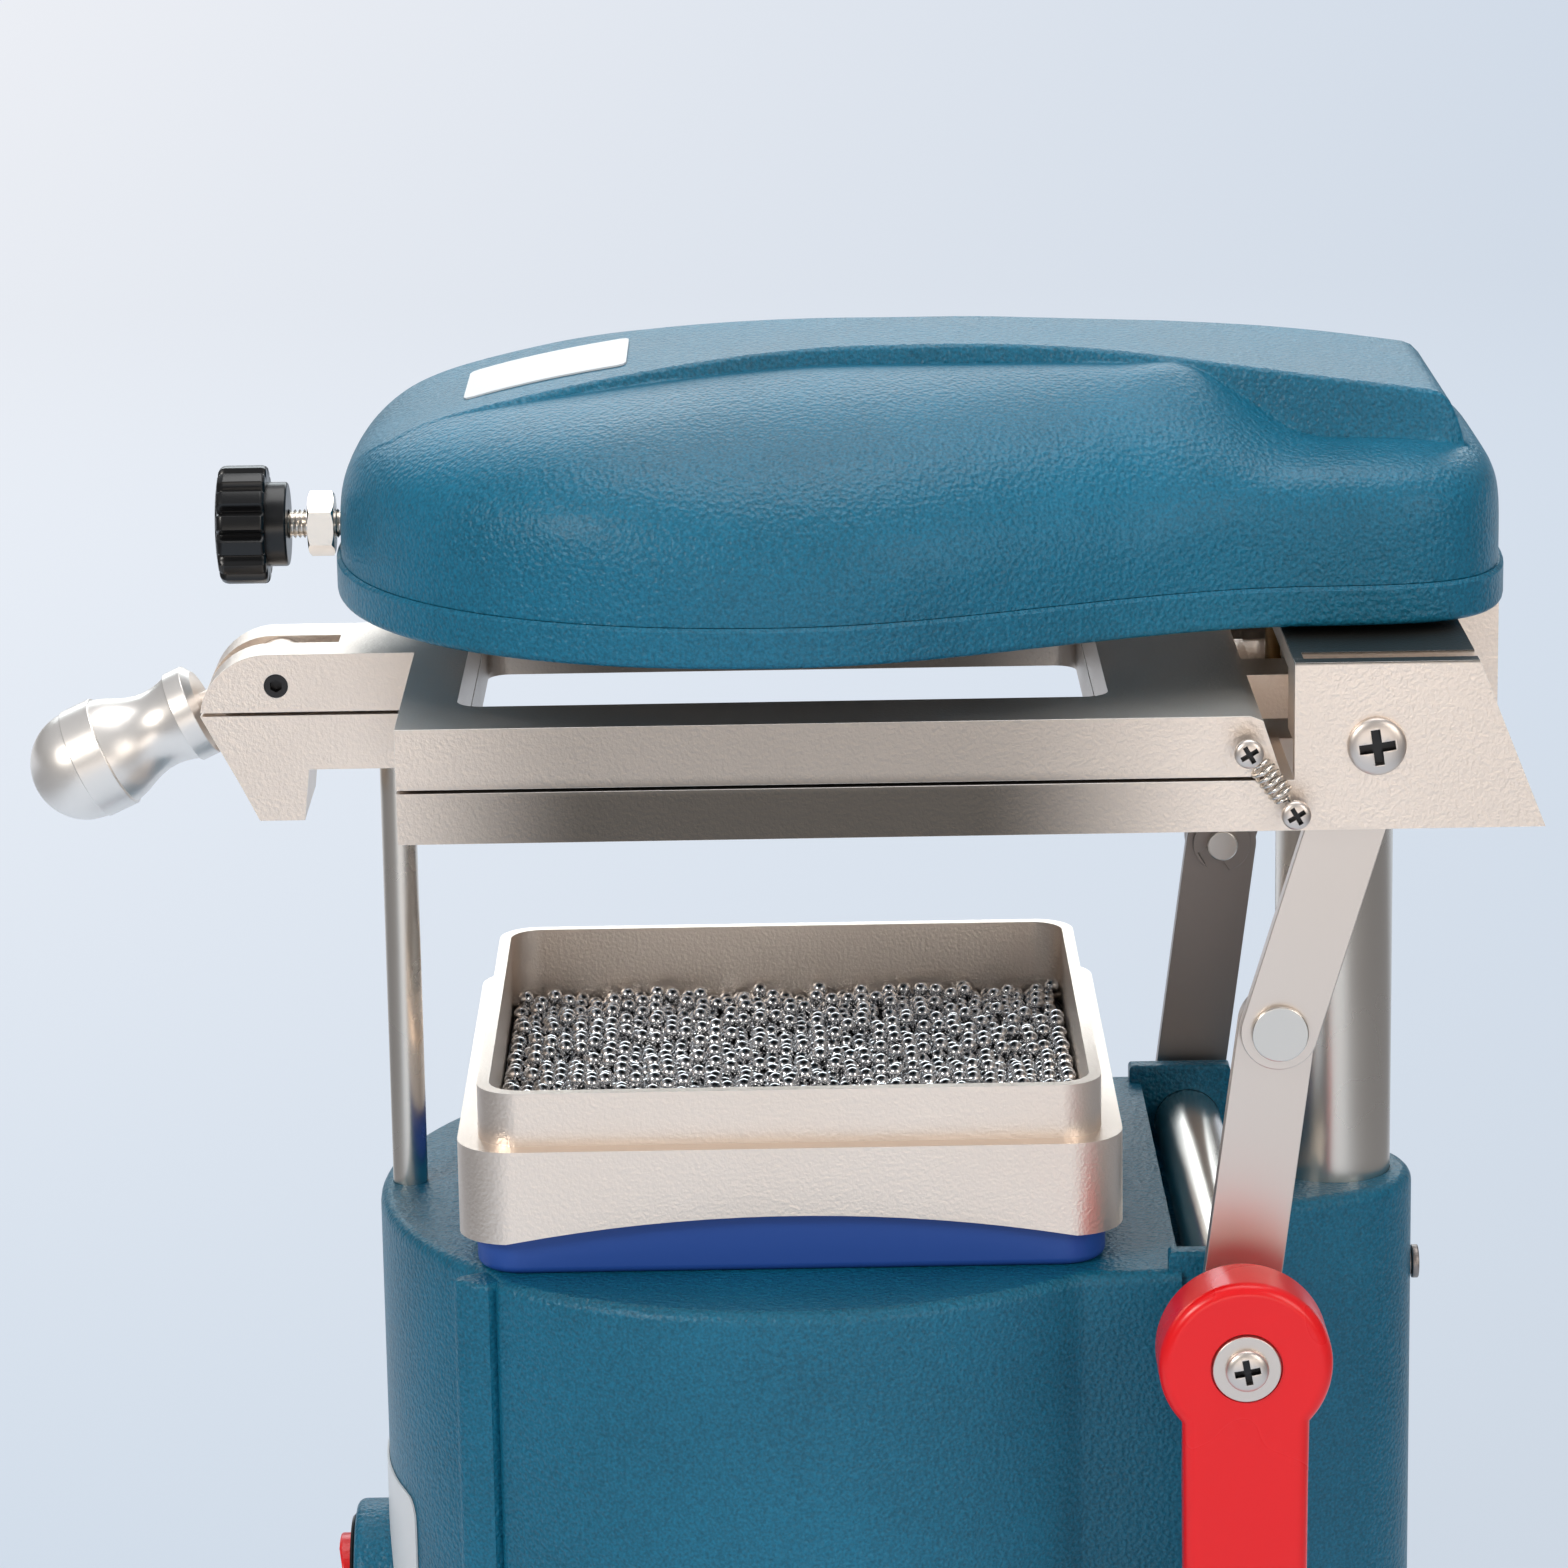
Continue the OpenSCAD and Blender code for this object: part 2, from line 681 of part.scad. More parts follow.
module red_lever() color(red) {
  hub_x = lever_x - hub_t;
  difference() {
    union() {
      rod_x(hub_x, lever_x - hub_edge, hub_d / 2, shaft_y, shaft_z);
      translate([lever_x - hub_edge, shaft_y, shaft_z]) rotate([0, 90, 0])
        cylinder(r1 = hub_d / 2, r2 = hub_d / 2 - hub_edge, h = hub_edge);
      rod_x(arm_x + arm_t + 5.4, hub_x, shaft_d / 2 + 4, shaft_y, shaft_z);
      // handle, hanging from the hub and narrower to its round end
      sweep_x(lever_x - lever_t, lever_x - 0.4) {
        polygon([
          [shaft_y - lever_w / 2, shaft_z], [shaft_y + lever_w / 2, shaft_z],
          [shaft_y + lever_w / 2 - 0.6, shaft_z - lever_len + lever_w / 2],
          [shaft_y - lever_w / 2 + 0.6, shaft_z - lever_len + lever_w / 2]
        ]);
        translate([shaft_y, shaft_z - lever_len + lever_w / 2]) circle(lever_w / 2 - 0.6);
      }
    }
    rod_x(0, lever_x - 3.4, shaft_d / 2 + 0.05, shaft_y, shaft_z);
    rod_x(0, lever_x + 1, 2.6, shaft_y, shaft_z);
    rod_x(lever_x - 1, lever_x + 1, 5.8, shaft_y, shaft_z);
  }
}

module lever_washer() color(bright) {
  difference() {
    rod_x(lever_x - 1, lever_x + 0.6, 5.5, shaft_y, shaft_z);
    rod_x(lever_x - 2, lever_x + 2, 2.6, shaft_y, shaft_z);
  }
}

module lever_screw() color(steel) {
  difference() {
    union() {
      rod_x(lever_x - 16, lever_x + 0.6, 2, shaft_y, shaft_z);
      rod_x(lever_x + 0.6, lever_x + 2.2, 3.5, shaft_y, shaft_z);
    }
    cross_x(lever_x + 2.2, shaft_y, shaft_z, 4.2, 1);
  }
}

// Carriage with the lower frame

module frame_opening(z0, z1) {
  translate([0, 0, z0]) linear_extrude(z1 - z0) round_square(opening_half, 4);
}

module lower_frame() color(steel) {
  foot_z = frame_z - 9.9;
  difference() {
    union() {
      translate([-frame_half, frame_y0, frame_z])
        cube([2 * frame_half, plate_y0 - frame_y0, lower_t]);
      // side plates of the carriage
      for (s = [-1, 1])
        sweep_x(s > 0 ? plate_x : -frame_half, s > 0 ? frame_half : -plate_x) polygon([
          [plate_y0 - 1, frame_z], [plate_y2, frame_z], [plate_y1, carriage_z],
          [plate_y0, carriage_z], [plate_y0, lower_top], [plate_y0 - 1, lower_top]
        ]);
      // front tongue with the foot that the latch grips
      sweep_x(-tongue_half, tongue_half) polygon([
        [frame_y0 + 1, lower_top], [latch_y - 12.9, lower_top], [latch_y - 6.6, frame_z - 3.6],
        [latch_y - 3.5, foot_z], [latch_y + 4.1, foot_z], [latch_y + 5.1, frame_z - 1.1],
        [frame_y0 + 1, frame_z - 1.1]
      ]);
    }
    frame_opening(frame_z - 1, lower_top + 1);
    // slot for the latch lever
    translate([-latch_slot / 2, latch_y - 30, foot_z + 2.2]) cube([latch_slot, 26, carriage_h]);
    // seat of the ball handle's flange, open upward so that the latched frame can lift
    translate([-flange_r - 0.5, flange_back - 20, flange_low - 0.5])
      cube([2 * flange_r + 1, 20.6, lower_top - flange_low + 2]);
    // seat of the guide rod
    translate([0, rod_y, frame_z - 10]) cylinder(r = rod_d / 2 + 0.02, h = lower_t + 8);
    // pivot and spring screws
    rod_x(-frame_half - 1, frame_half + 1, 2.5, post_y, pivot_z);
    rod_x(plate_x - 3, frame_half + 1, screw_neck_r, screw_b[0], screw_b[1]);
  }
}

module carriage_block() color(steel) {
  difference() {
    union() {
      // body between the side plates
      translate([-block_half, plate_y0 + 3, frame_z + lower_t + 0.5])
        cube([2 * block_half, plate_y1 - plate_y0 - 3, carriage_z - frame_z - lower_t - 0.5]);
      // sleeve round the post
      translate([-16, plate_y0 + 3, frame_z])
        cube([32, sleeve_y - plate_y0 - 3, carriage_z - frame_z]);
      // nose that is bolted to the lower frame
      translate([-40, plate_y0, frame_z]) cube([80, 6, lower_t]);
      // cover strip to the side plates
      translate([-block_half - 3.6, plate_y0, carriage_z - 3.5])
        cube([2 * (block_half + 3.6), plate_y1 - plate_y0, 3.5]);
      // feet against the side plates, behind the links
      for (s = [-1, 1])
        translate([s > 0 ? block_half - 1 : -plate_x, plate_y0, frame_z + 14])
          cube([plate_x - block_half + 1, 1.6, carriage_z - frame_z - 14]);
    }
    // bore of the post bush
    translate([0, post_y, frame_z - 1]) cylinder(r = post_d / 2 + 2, h = 60);
    // pockets for the hinge lugs of the upper frame
    for (s = [-1, 1])
      translate([s * 30 - 6.4, plate_y0 - 1, frame_z + lower_t - 0.5]) cube([12.8, 10.4, 12.4]);
    rod_x(-frame_half, frame_half, hinge_r + 0.02, hinge_y, hinge_z);
  }
}

module post_bush() color([0.72, 0.58, 0.36]) {
  difference() {
    translate([0, post_y, frame_z]) cylinder(r = post_d / 2 + 1.95, h = carriage_z - frame_z);
    translate([0, post_y, frame_z - 1]) cylinder(r = post_d / 2 + run_gap, h = 60);
  }
}

module guide_rod() color(bright) {
  translate([0, rod_y, base_h - 22]) cylinder(r = rod_d / 2, h = lower_top - base_h + 20);
}

module pivot_screw(s) {
  color(steel) mirror([s > 0 ? 0 : 1, 0, 0]) difference() {
    union() {
      rod_x(plate_x, frame_half, 2.45, post_y, pivot_z);
      rod_x(frame_half, frame_half + 1.6, pivot_head_d / 2, post_y, pivot_z);
    }
    cross_x(frame_half + 1.6, post_y, pivot_z, 5.4, 0.9);
  }
}

module pivot_screw_near() pivot_screw(1);
module pivot_screw_far() pivot_screw(-1);

module hinge_pin() color(bright) {
  rod_x(-block_half, -post_d / 2 - 4, hinge_r, hinge_y, hinge_z);
  rod_x(post_d / 2 + 4, block_half, hinge_r, hinge_y, hinge_z);
}

// A small pan head screw that an end of the spring is hooked on
module spring_screw(p, x0) {
  color(bright) difference() {
    union() {
      rod_x(x0, spring_x + 2.1, screw_neck_r - 0.05, p[0], p[1]);
      rod_x(spring_x + 2.1, spring_x + 3.2, 2.35, p[0], p[1]);
    }
    cross_x(spring_x + 3.2, p[0], p[1], 2.8, 0.7);
  }
}

module spring_screw_low() spring_screw(screw_b, plate_x);
module spring_screw_high() spring_screw(screw_a, plate_x - 4);

// Path of the spring's wire: straight ends on the line between the screws, and
// a helix whose radius grows from nothing at each end
spring_len = norm(screw_b - screw_a);
spring_end = screw_neck_r + 0.3 + wire_r;
spring_run = spring_len - 2 * (spring_end + 1.1);
spring_steps = curls * rings_per_curl;
function spring_dir() = (screw_b - screw_a) / spring_len;
function spring_local(i) =
  let (t = i / spring_steps, r = coil_r * min(1, 4 * min(t * curls, (1 - t) * curls)))
  [spring_end + 1.1 + t * spring_run, r * cos(360 * i / rings_per_curl), r * sin(360 * i / rings_per_curl)];
function spring_place(p) =
  let (d = spring_dir())
  [spring_x + p[1], screw_a[0] + d[0] * p[0] - d[1] * p[2], screw_a[1] + d[1] * p[0] + d[0] * p[2]];
spring_path = concat(
  [spring_place([spring_end, 0, 0])],
  [for (i = [0:spring_steps]) spring_place(spring_local(i))],
  [spring_place([spring_len - spring_end, 0, 0])]
);
function unit(v) = v / norm(v);
function tangent(path, i) =
  unit(path[min(i + 1, len(path) - 1)] - path[max(i - 1, 0)]);

// A tube round a path, one ring of points for each point of the path
module tube(path, r, sides) {
  axis = unit([0, screw_b[0] - screw_a[0], screw_b[1] - screw_a[1]]);
  points = [
    for (i = [0:len(path) - 1])
      let (t = tangent(path, i), u = unit(cross(t, cross([1, 0.13, 0.21], t))), v = cross(t, u))
      for (k = [0:sides - 1]) path[i] + r * (cos(360 * k / sides) * u + sin(360 * k / sides) * v)
  ];
  last = (len(path) - 1) * sides;
  walls = [
    for (i = [0:len(path) - 2], k = [0:sides - 1])
      let (a = i * sides + k, b = i * sides + (k + 1) % sides)
      each [[a, b, b + sides], [a, b + sides, a + sides]]
  ];
  caps = [
    for (k = [1:sides - 2]) each [[0, k + 1, k], [last, last + k, last + k + 1]]
  ];
  polyhedron(points, concat(walls, caps));
}

// Least gap between turns of the wire, measured between points a turn apart
spring_gap = min([
  for (i = [0:len(spring_path) - 1], j = [i + rings_per_curl - 2:1:len(spring_path) - 1])
    norm(spring_path[i] - spring_path[j])
]) - 2 * wire_r;
echo(spring_gap = spring_gap);

module frame_spring() color(bright) tube(spring_path, wire_r, wire_sides);

// Upper frame

module upper_frame() color(steel) {
  nose_r = 11.5;
  difference() {
    union() {
      sweep_x(-frame_half, frame_half) polygon([
        [frame_y0, upper_z], [frame_y1, upper_z], [frame_y1 - 3, upper_top - 0.8],
        [frame_y1 - 5, upper_top], [frame_y0, upper_top]
      ]);
      // tongue with a round front
      sweep_x(-tongue_half, tongue_half) intersection() {
        union() {
          translate([latch_y - 1.5, upper_top - nose_r]) circle(nose_r);
          translate([latch_y - 1.5, upper_z - 5]) square([frame_y0 - latch_y + 6.6, upper_t + 5]);
        }
        translate([latch_y - 25, upper_z]) square([frame_y0 - latch_y + 36.6, upper_t]);
      }
      // hinge lugs
      for (s = [-1, 1]) {
        translate([s * 30 - 6, frame_y1 - 4, upper_z + 1.8]) cube([12, 11, 7.4]);
        rod_x(s * 30 - 6, s * 30 + 6, 3.7, hinge_y, hinge_z);
      }
    }
    frame_opening(upper_z - 1, upper_top + 1);
    // slot for the latch lever
    translate([-latch_slot / 2, latch_y - 35, upper_z - 1]) cube([latch_slot, 45.1, upper_t + 2]);
    rod_x(-tongue_half - 1, tongue_half + 1, 2.05, latch_y, latch_z);
    rod_x(-block_half, block_half, hinge_r + run_gap, hinge_y, hinge_z);
    rod_x(plate_x - 5, frame_half + 1, screw_neck_r, screw_a[0], screw_a[1]);
  }
}

module latch_pin() color(black) {
  difference() {
    rod_x(-tongue_half, tongue_half, 2, latch_y, latch_z);
    translate([tongue_half - 2, latch_y, latch_z]) rotate([0, 90, 0]) cylinder(r = 1.1, h = 3, $fn = 6);
  }
}

// Places its children with +Z along the handle, from the latch pin outward
module along_handle() {
  translate([0, latch_y, latch_z]) rotate([90 + handle_dip, 0, 0]) children();
}

module latch_lever() color(steel) {
  difference() {
    union() {
      rod_x(-latch_slot / 2 + seat_gap, latch_slot / 2 - seat_gap, 5, latch_y, latch_z);
      along_handle() cylinder(r = 2.5, h = 24);
    }
    rod_x(-5, 5, 2 + run_gap, latch_y, latch_z);
  }
}

// Turned handle: a collar, a waist and a ball, with the lever's rod in its bore
module ball_handle() color(bright) {
  ball_r = ball_d / 2;
  z_ball = 37;
  along_handle() difference() {
    rotate_extrude() difference() {
      union() {
        translate([0, flange_z]) square([flange_r, 4.6]);
        translate([0, 18.9]) square([6.4, 12]);
        polygon([[0, 18.9], [flange_r, 18.9], [7.15, 20.4], [6.75, 23.2], [6.95, 25.2], [7.9, 28], [9.1, 30.8], [9.3, 33.6], [0, 33.6]]);
        intersection() {
          translate([0, z_ball]) circle(ball_r);
          translate([0, z_ball - 6]) square([ball_r + 1, 30]);
        }
      }
      translate([-20, 0]) square([20, 80]);
    }
    translate([0, 0, 10]) cylinder(r = 2.55, h = 14.2);
  }
}

// Head

// Smooth step from 0 to 1
function smooth(t) = let (c = max(0, min(1, t))) c * c * (3 - 2 * c);
// Half width of the sides of the head, from the lobe to the neck
function side_half(y, inset) = neck_half - inset + (head_half - neck_half) * (1 - smooth(y / 85));
// How near a y lies to the front or rear end: 0 along the sides, 1 at the end
function end_ratio(y, inset) =
  y < 0 ? y / (head_y0 + inset) : max(0, (y - tail_y) / (head_y1 - inset - tail_y));
function end_pow(y) = y < 0 ? front_pow : tail_pow;
function outline_half(y, inset) =
  side_half(max(0, y), inset) * pow(max(0, 1 - pow(end_ratio(y, inset), end_pow(y))), 1 / end_pow(y));
// Stations along Y, closer together at both ends
function station(i, n, inset) =
  let (c = -cos(180 * (i - 0.7) / (n - 1.4)))
  c < 0 ? -c * (head_y0 + inset) : c * (head_y1 - inset);
function outline(n, inset) = concat(
  [for (i = [1:n - 1]) let (y = station(i, n, inset)) [outline_half(y, inset), y]],
  [for (i = [n - 1:-1:1]) let (y = station(i, n, inset)) [-outline_half(y, inset), y]]
);

// How far down the side of the cover a point lies: 0 on the crest, 1 at the lip
function side_ratio(x, y, inset) =
  let (rx = abs(x) / side_half(max(0, y), inset), ry = end_ratio(y, inset), n = end_pow(y))
  min(1, pow(pow(rx, n) + pow(ry, n), 1 / n));
// Level of the crest over the lobe and over the rear shoulders
function crest(x, y) =
  let (
    s = smooth((y - 72 + 0.45 * abs(x)) / 30),
    dip = lobe_dip * (1 - smooth(abs(x) / 26)) + 3.8 * smooth((10 - y) / 60)
  )
  (lobe_z - dip) * (1 - s) + shoulder_z * s;
function cover_height(x, y, inset, drop) =
  let (r = side_ratio(x, y, inset), p = side_pow + 1.3 * smooth(-y / 40) + 2.9 * smooth((y - 55) / 30))
  lip_z + (crest(x, y) - drop - lip_z) * pow(max(0, 1 - pow(r, p)), 1 / p);

// The flat-topped spine along the middle of the cover
function spine_half(y) =
  y < 20
  ? waist_half + 10 * smooth((20 - y) / 66)
  : waist_half + 10 * smooth((y - 40) / 56);
function spine_top(y, inset, drop) =
  let (
    fall = y < 14 ? 5.5 * smooth((14 - y) / 80) : 7 * pow(max(0, y - 30) / 76, 1.6),
    y_end = head_y1 - inset - 5,
    u = y < 0 ? end_ratio(y, inset) : max(0, (y - y_end + 7) / 7),
    n = y < 0 ? 3.2 : 2.6
  )
  lip_z + (spine_z - drop - fall - lip_z) * pow(max(0, 1 - pow(min(1, u), n)), 1 / n);

// A row of points across the cover: the side, the spine's wall and its top
function half_row(y, inset, drop) =
  let (
    w = outline_half(y, inset),
    s = min(spine_half(y) - drop, 0.62 * w),
    foot = s + min(0.9, 0.1 * w),
    edge = max(s - 1.2, 0.9 * s),
    top = spine_top(y, inset, drop)
  )
  concat(
    [for (t = [0:side_steps])
      let (x = foot + (w - foot) * cos(90 * t / side_steps))
      [x, y, t == 0 ? lip_z : cover_height(x, y, inset, drop)]],
    [[s, y, max(cover_height(s, y, inset, drop), top - 1)],
      [edge, y, max(cover_height(edge, y, inset, drop), top)]]
  );
function full_row(y, inset, drop) =
  let (half = half_row(y, inset, drop), count = len(half))
  concat(
    [for (p = half) [-p[0], p[1], p[2]]],
    [[0, y, max(cover_height(0, y, inset, drop), spine_top(y, inset, drop))]],
    [for (k = [count - 1:-1:0]) half[k]]
  );

// Shell between an outer and an inner sheet that meet in a flat lip
module cover_shell(n) {
  m = 2 * (side_steps + 3);
  count = m + 1;
  last = n - 2;
  inner = (last + 1) * count;
  thin = head_wall;
  points = concat(
    [for (i = [1:n - 1], p = full_row(station(i, n, lip_in), lip_in, 0)) p],
    [for (i = [1:n - 1], p = full_row(station(i, n, lip_in + thin), lip_in + thin, thin)) p]
  );
  outer_faces = concat(
    [for (i = [0:last - 1], j = [0:m - 1])
      let (a = i * count + j, b = a + count)
      each [[a, b, b + 1], [a, b + 1, a + 1]]],
    [for (j = [1:m - 1])
      each [[0, j, j + 1], [last * count, last * count + j + 1, last * count + j]]]
  );
  inner_faces = [for (f = outer_faces) [inner + f[0], inner + f[2], inner + f[1]]];
  lip_faces = concat(
    [for (i = [0:last - 1])
      let (a = i * count, b = a + count)
      each [
        [a, inner + b, b], [a, inner + a, inner + b],
        [a + m, b + m, inner + b + m], [a + m, inner + b + m, inner + a + m]
      ]],
    [[0, m, inner + m], [0, inner + m, inner]],
    [let (a = last * count) [a, inner + a + m, a + m], let (a = last * count) [a, inner + a, inner + a + m]]
  );
  polyhedron(points, concat(outer_faces, inner_faces, lip_faces));
}

module head_cover() color(teal) {
  difference() {
    cover_shell(36);
    // notch for the knob's stud
    translate([-stud_d / 2 - 0.9, head_y0 - 5, lip_z - 1])
      cube([stud_d + 1.8, 12, knob_z - lip_z + 1 + stud_d / 2 + 0.3]);
  }
}

module head_skirt() color(teal) {
  difference() {
    union() {
      difference() {
        translate([0, 0, head_z]) linear_extrude(head_skirt_h) polygon(outline(48, 0));
        translate([0, 0, head_z + floor_t]) linear_extrude(head_skirt_h) polygon(outline(40, head_wall));
      }
      // anchor block of the knob's stud
      translate([-7, head_y0 + head_wall + 2.1, head_z + 0.5]) cube([14, 7.6, knob_z - head_z + 4]);
    }
    translate([0, 0, head_z - 1]) cylinder(r = heater_r, h = 40);
    translate([0, post_y, head_z - 1]) cylinder(r = post_neck_d / 2 + 5 + seat_gap, h = 40);
    rod_y(head_y0, head_y0 + 20, stud_d / 2 + 0.02, 0, knob_z);
  }
}

module head_hub() color(steel) {
  difference() {
    union() {
      translate([0, post_y, neck_z + 0.1]) cylinder(r = post_neck_d / 2 + 5, h = 15.5);
      translate([0, post_y, head_z + floor_t]) cylinder(r = post_neck_d / 2 + 10, h = 2.4);
    }
    translate([0, post_y, head_z - 1]) cylinder(r = post_neck_d / 2 + run_gap, h = 40);
  }
}

// Steel reflector over the heater, a dish that rests on the skirt's floor
module heater_dish() color(steel) {
  z = head_z + floor_t;
  translate([0, 0, z]) rotate_extrude() polygon([
    [heater_r - 2, 0], [heater_r + 3, 0], [heater_r + 3, 0.8], [heater_r - 1.4, 0.8],
    [heater_r - 8, 14.8], [0, 14.8], [0, 14], [heater_r - 8.6, 14], [heater_r - 2, 0.6]
  ]);
}

module heater_plate() color([0.25, 0.24, 0.24]) {
  z = head_z + floor_t + 3.5;
  difference() {
    translate([0, 0, z]) cylinder(r = plate_r, h = 7);
    // ring grooves of the heating elements
    for (r = [10:8:plate_r - 4])
      translate([0, 0, z]) rotate_extrude() translate([r, 0]) circle(1.6, $fn = 24);
  }
}

module heater_studs() color(steel) {
  for (a = [30:120:270])
    rotate([0, 0, a]) translate([plate_r - 16, 0, head_z + floor_t + 10.5]) cylinder(r = 3, h = 3.5);
}

// A blank white plate that follows the front of the spine
module head_label() color(white) {
  n = 18;
  y0 = head_y0 + 22.6;
  y1 = head_y0 + 49.6;
  rows = [
    for (i = [0:n])
      let (y = y0 + (y1 - y0) * i / n, z = 0.3 + max(spine_top(y, lip_in, 0), cover_height(0, y, lip_in, 0)))
      [[13, y, z], [13, y, z + 0.5], [-13, y, z + 0.5], [-13, y, z]]
  ];
  sides = [
    for (i = [0:n - 1], j = [0:3])
      let (a = i * 4 + j, b = i * 4 + (j + 1) % 4)
      each [[a, b + 4, b], [a, a + 4, b + 4]]
  ];
  ends = [[0, 1, 2], [0, 2, 3], [n * 4, n * 4 + 2, n * 4 + 1], [n * 4, n * 4 + 3, n * 4 + 2]];
  polyhedron([for (r = rows) each r], concat(sides, ends));
}

module knob_stud() color(bright) {
  rod_y(head_y0 - 15.4, head_y0 + head_wall + 7.6, stud_d / 2, 0, knob_z);
}

module stud_nut() color(bright) {
  difference() {
    translate([0, head_y0 - 4.8, knob_z]) rotate([-90, 0, 0]) rotate([0, 0, 30]) cylinder(r = 5.6, h = 4.4, $fn = 6);
    rod_y(head_y0 - 6.4, head_y0 + 4.6, stud_d / 2 + 0.02, 0, knob_z);
  }
}

module knob() color(black) {
  knob_front = head_y0 - 20.3;
  knob_back = head_y0 - 11.6;
  difference() {
    union() {
      rod_y(knob_front, knob_back, knob_d / 2, 0, knob_z);
      rod_y(knob_back, knob_back + 3.4, knob_d * 0.36, 0, knob_z);
    }
    // flutes round the rim
    for (a = [0:30:330])
      translate([0, knob_front - 0.6, knob_z]) rotate([-90, 0, 0]) rotate([0, 0, a])
        translate([knob_d / 2 + 1.4, 0, 0]) cylinder(r = 2.4, h = 8.4, $fn = 24);
    rod_y(head_y0 - 15.5, head_y0 - 5.4, stud_d / 2 + 0.02, 0, knob_z);
  }
}

base_housing();
bottom_cover();
cover_screws();
sole_ring();
rear_post();
post_set_screw();
head_washer();
head_bolt();
front_label();
heat_switch_body();
vacuum_switch_body();
heat_rocker();
vacuum_rocker();
mains_inlet();
inlet_pins();
vacuum_motor();
suction_duct();
silicone_pad();
bead_cup();
steel_beads();
lift_shaft();
crank_arm_near();
crank_arm_far();
knee_pin_near();
knee_pin_far();
knee_clip_far();
red_lever();
lever_washer();
lever_screw();
link_near();
link_far();
knee_head_near();
lower_frame();
carriage_block();
post_bush();
guide_rod();
pivot_screw_near();
pivot_screw_far();
hinge_pin();
spring_screw_low();
frame_spring();
upper_frame();
spring_screw_high();
latch_pin();
latch_lever();
ball_handle();
head_cover();
head_skirt();
head_hub();
heater_dish();
heater_plate();
heater_studs();
head_label();
knob_stud();
stud_nut();
knob();
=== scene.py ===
import bpy
import bmesh
import math
import random
from mathutils import Matrix, Quaternion, Vector


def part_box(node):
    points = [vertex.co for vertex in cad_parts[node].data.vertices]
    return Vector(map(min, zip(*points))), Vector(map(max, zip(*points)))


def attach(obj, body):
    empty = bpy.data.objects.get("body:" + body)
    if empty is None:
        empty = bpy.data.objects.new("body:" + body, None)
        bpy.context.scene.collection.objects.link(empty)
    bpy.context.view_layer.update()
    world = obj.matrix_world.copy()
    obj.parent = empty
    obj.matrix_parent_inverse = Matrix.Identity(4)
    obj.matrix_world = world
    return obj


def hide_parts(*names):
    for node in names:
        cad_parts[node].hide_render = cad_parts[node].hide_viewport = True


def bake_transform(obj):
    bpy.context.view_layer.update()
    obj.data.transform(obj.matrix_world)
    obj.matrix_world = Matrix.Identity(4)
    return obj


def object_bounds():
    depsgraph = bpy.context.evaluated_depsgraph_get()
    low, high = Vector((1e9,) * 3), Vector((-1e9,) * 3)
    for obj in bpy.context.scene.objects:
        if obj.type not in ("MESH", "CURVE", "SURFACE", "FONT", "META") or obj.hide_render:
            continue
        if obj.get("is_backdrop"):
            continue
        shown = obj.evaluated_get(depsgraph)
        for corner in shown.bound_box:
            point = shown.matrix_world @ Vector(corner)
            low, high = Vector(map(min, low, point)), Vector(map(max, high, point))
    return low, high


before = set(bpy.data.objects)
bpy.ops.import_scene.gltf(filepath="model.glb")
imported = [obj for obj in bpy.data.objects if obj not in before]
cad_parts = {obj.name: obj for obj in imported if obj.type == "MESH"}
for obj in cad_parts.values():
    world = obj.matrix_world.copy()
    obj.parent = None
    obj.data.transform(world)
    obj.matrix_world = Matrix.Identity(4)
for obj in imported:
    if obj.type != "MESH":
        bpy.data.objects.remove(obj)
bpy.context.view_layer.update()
scene = bpy.context.scene
scene.view_settings.view_transform = "Standard"

# Camera and bench. A long lens about a metre away, level with the head of the
# machine and 14 degrees above it, tipped a little to one side as in the picture.
lens_px, frame_px = 5800, 1568
sensor = 36
pitch_down = math.radians(14)
look = Vector((-math.cos(pitch_down), 0, -math.sin(pitch_down)))
aim = Vector((0.068, 0, 0.2267))
distance, side_tip = 0.92, -0.0165
camera_data = bpy.data.cameras.new("camera")
camera_data.lens = lens_px / frame_px * sensor
camera_data.sensor_width = sensor
camera_data.clip_end = 60
camera = bpy.data.objects.new("camera", camera_data)
scene.collection.objects.link(camera)
camera.rotation_mode = "QUATERNION"
camera.location = aim - distance * look
camera.rotation_quaternion = look.to_track_quat("-Z", "Y") @ Quaternion((0, 0, 1), side_tip)
scene.camera = camera


def lamp(name, place, target, size, power, tint=(1, 1, 1)):
    """A soft box at a place, turned to a target, with its size in metres and its power in watts."""
    data = bpy.data.lights.new(name, "AREA")
    data.shape = "RECTANGLE"
    data.size, data.size_y = size
    data.energy = power
    data.color = tint
    obj = bpy.data.objects.new(name, data)
    scene.collection.objects.link(obj)
    obj.location = place
    obj.rotation_mode = "QUATERNION"
    obj.rotation_quaternion = (Vector(target) - Vector(place)).to_track_quat("-Z", "Y")
    return obj


lamp("key_lamp", (1.2, -1.2, 1.1), (0, 0, 0.2), (0.6, 0.45), 13, (1, 0.96, 0.90))
lamp("side_lamp", (1.4, 1.1, 0.9), (0, 0, 0.2), (0.6, 1.0), 7, (1, 0.94, 0.87))
lamp("low_lamp", (1.6, 0.1, 0.2), (0, 0, 0.2), (1.1, 0.35), 2.4, (1, 0.90, 0.80))
lamp("top_lamp", (-0.2, 0.1, 1.6), (0, 0, 0.2), (1.2, 1.2), 12)
lamp("rim_lamp", (-1.5, -0.1, 0.85), (0, 0, 0.28), (1.6, 0.6), 8, (0.88, 0.96, 1))

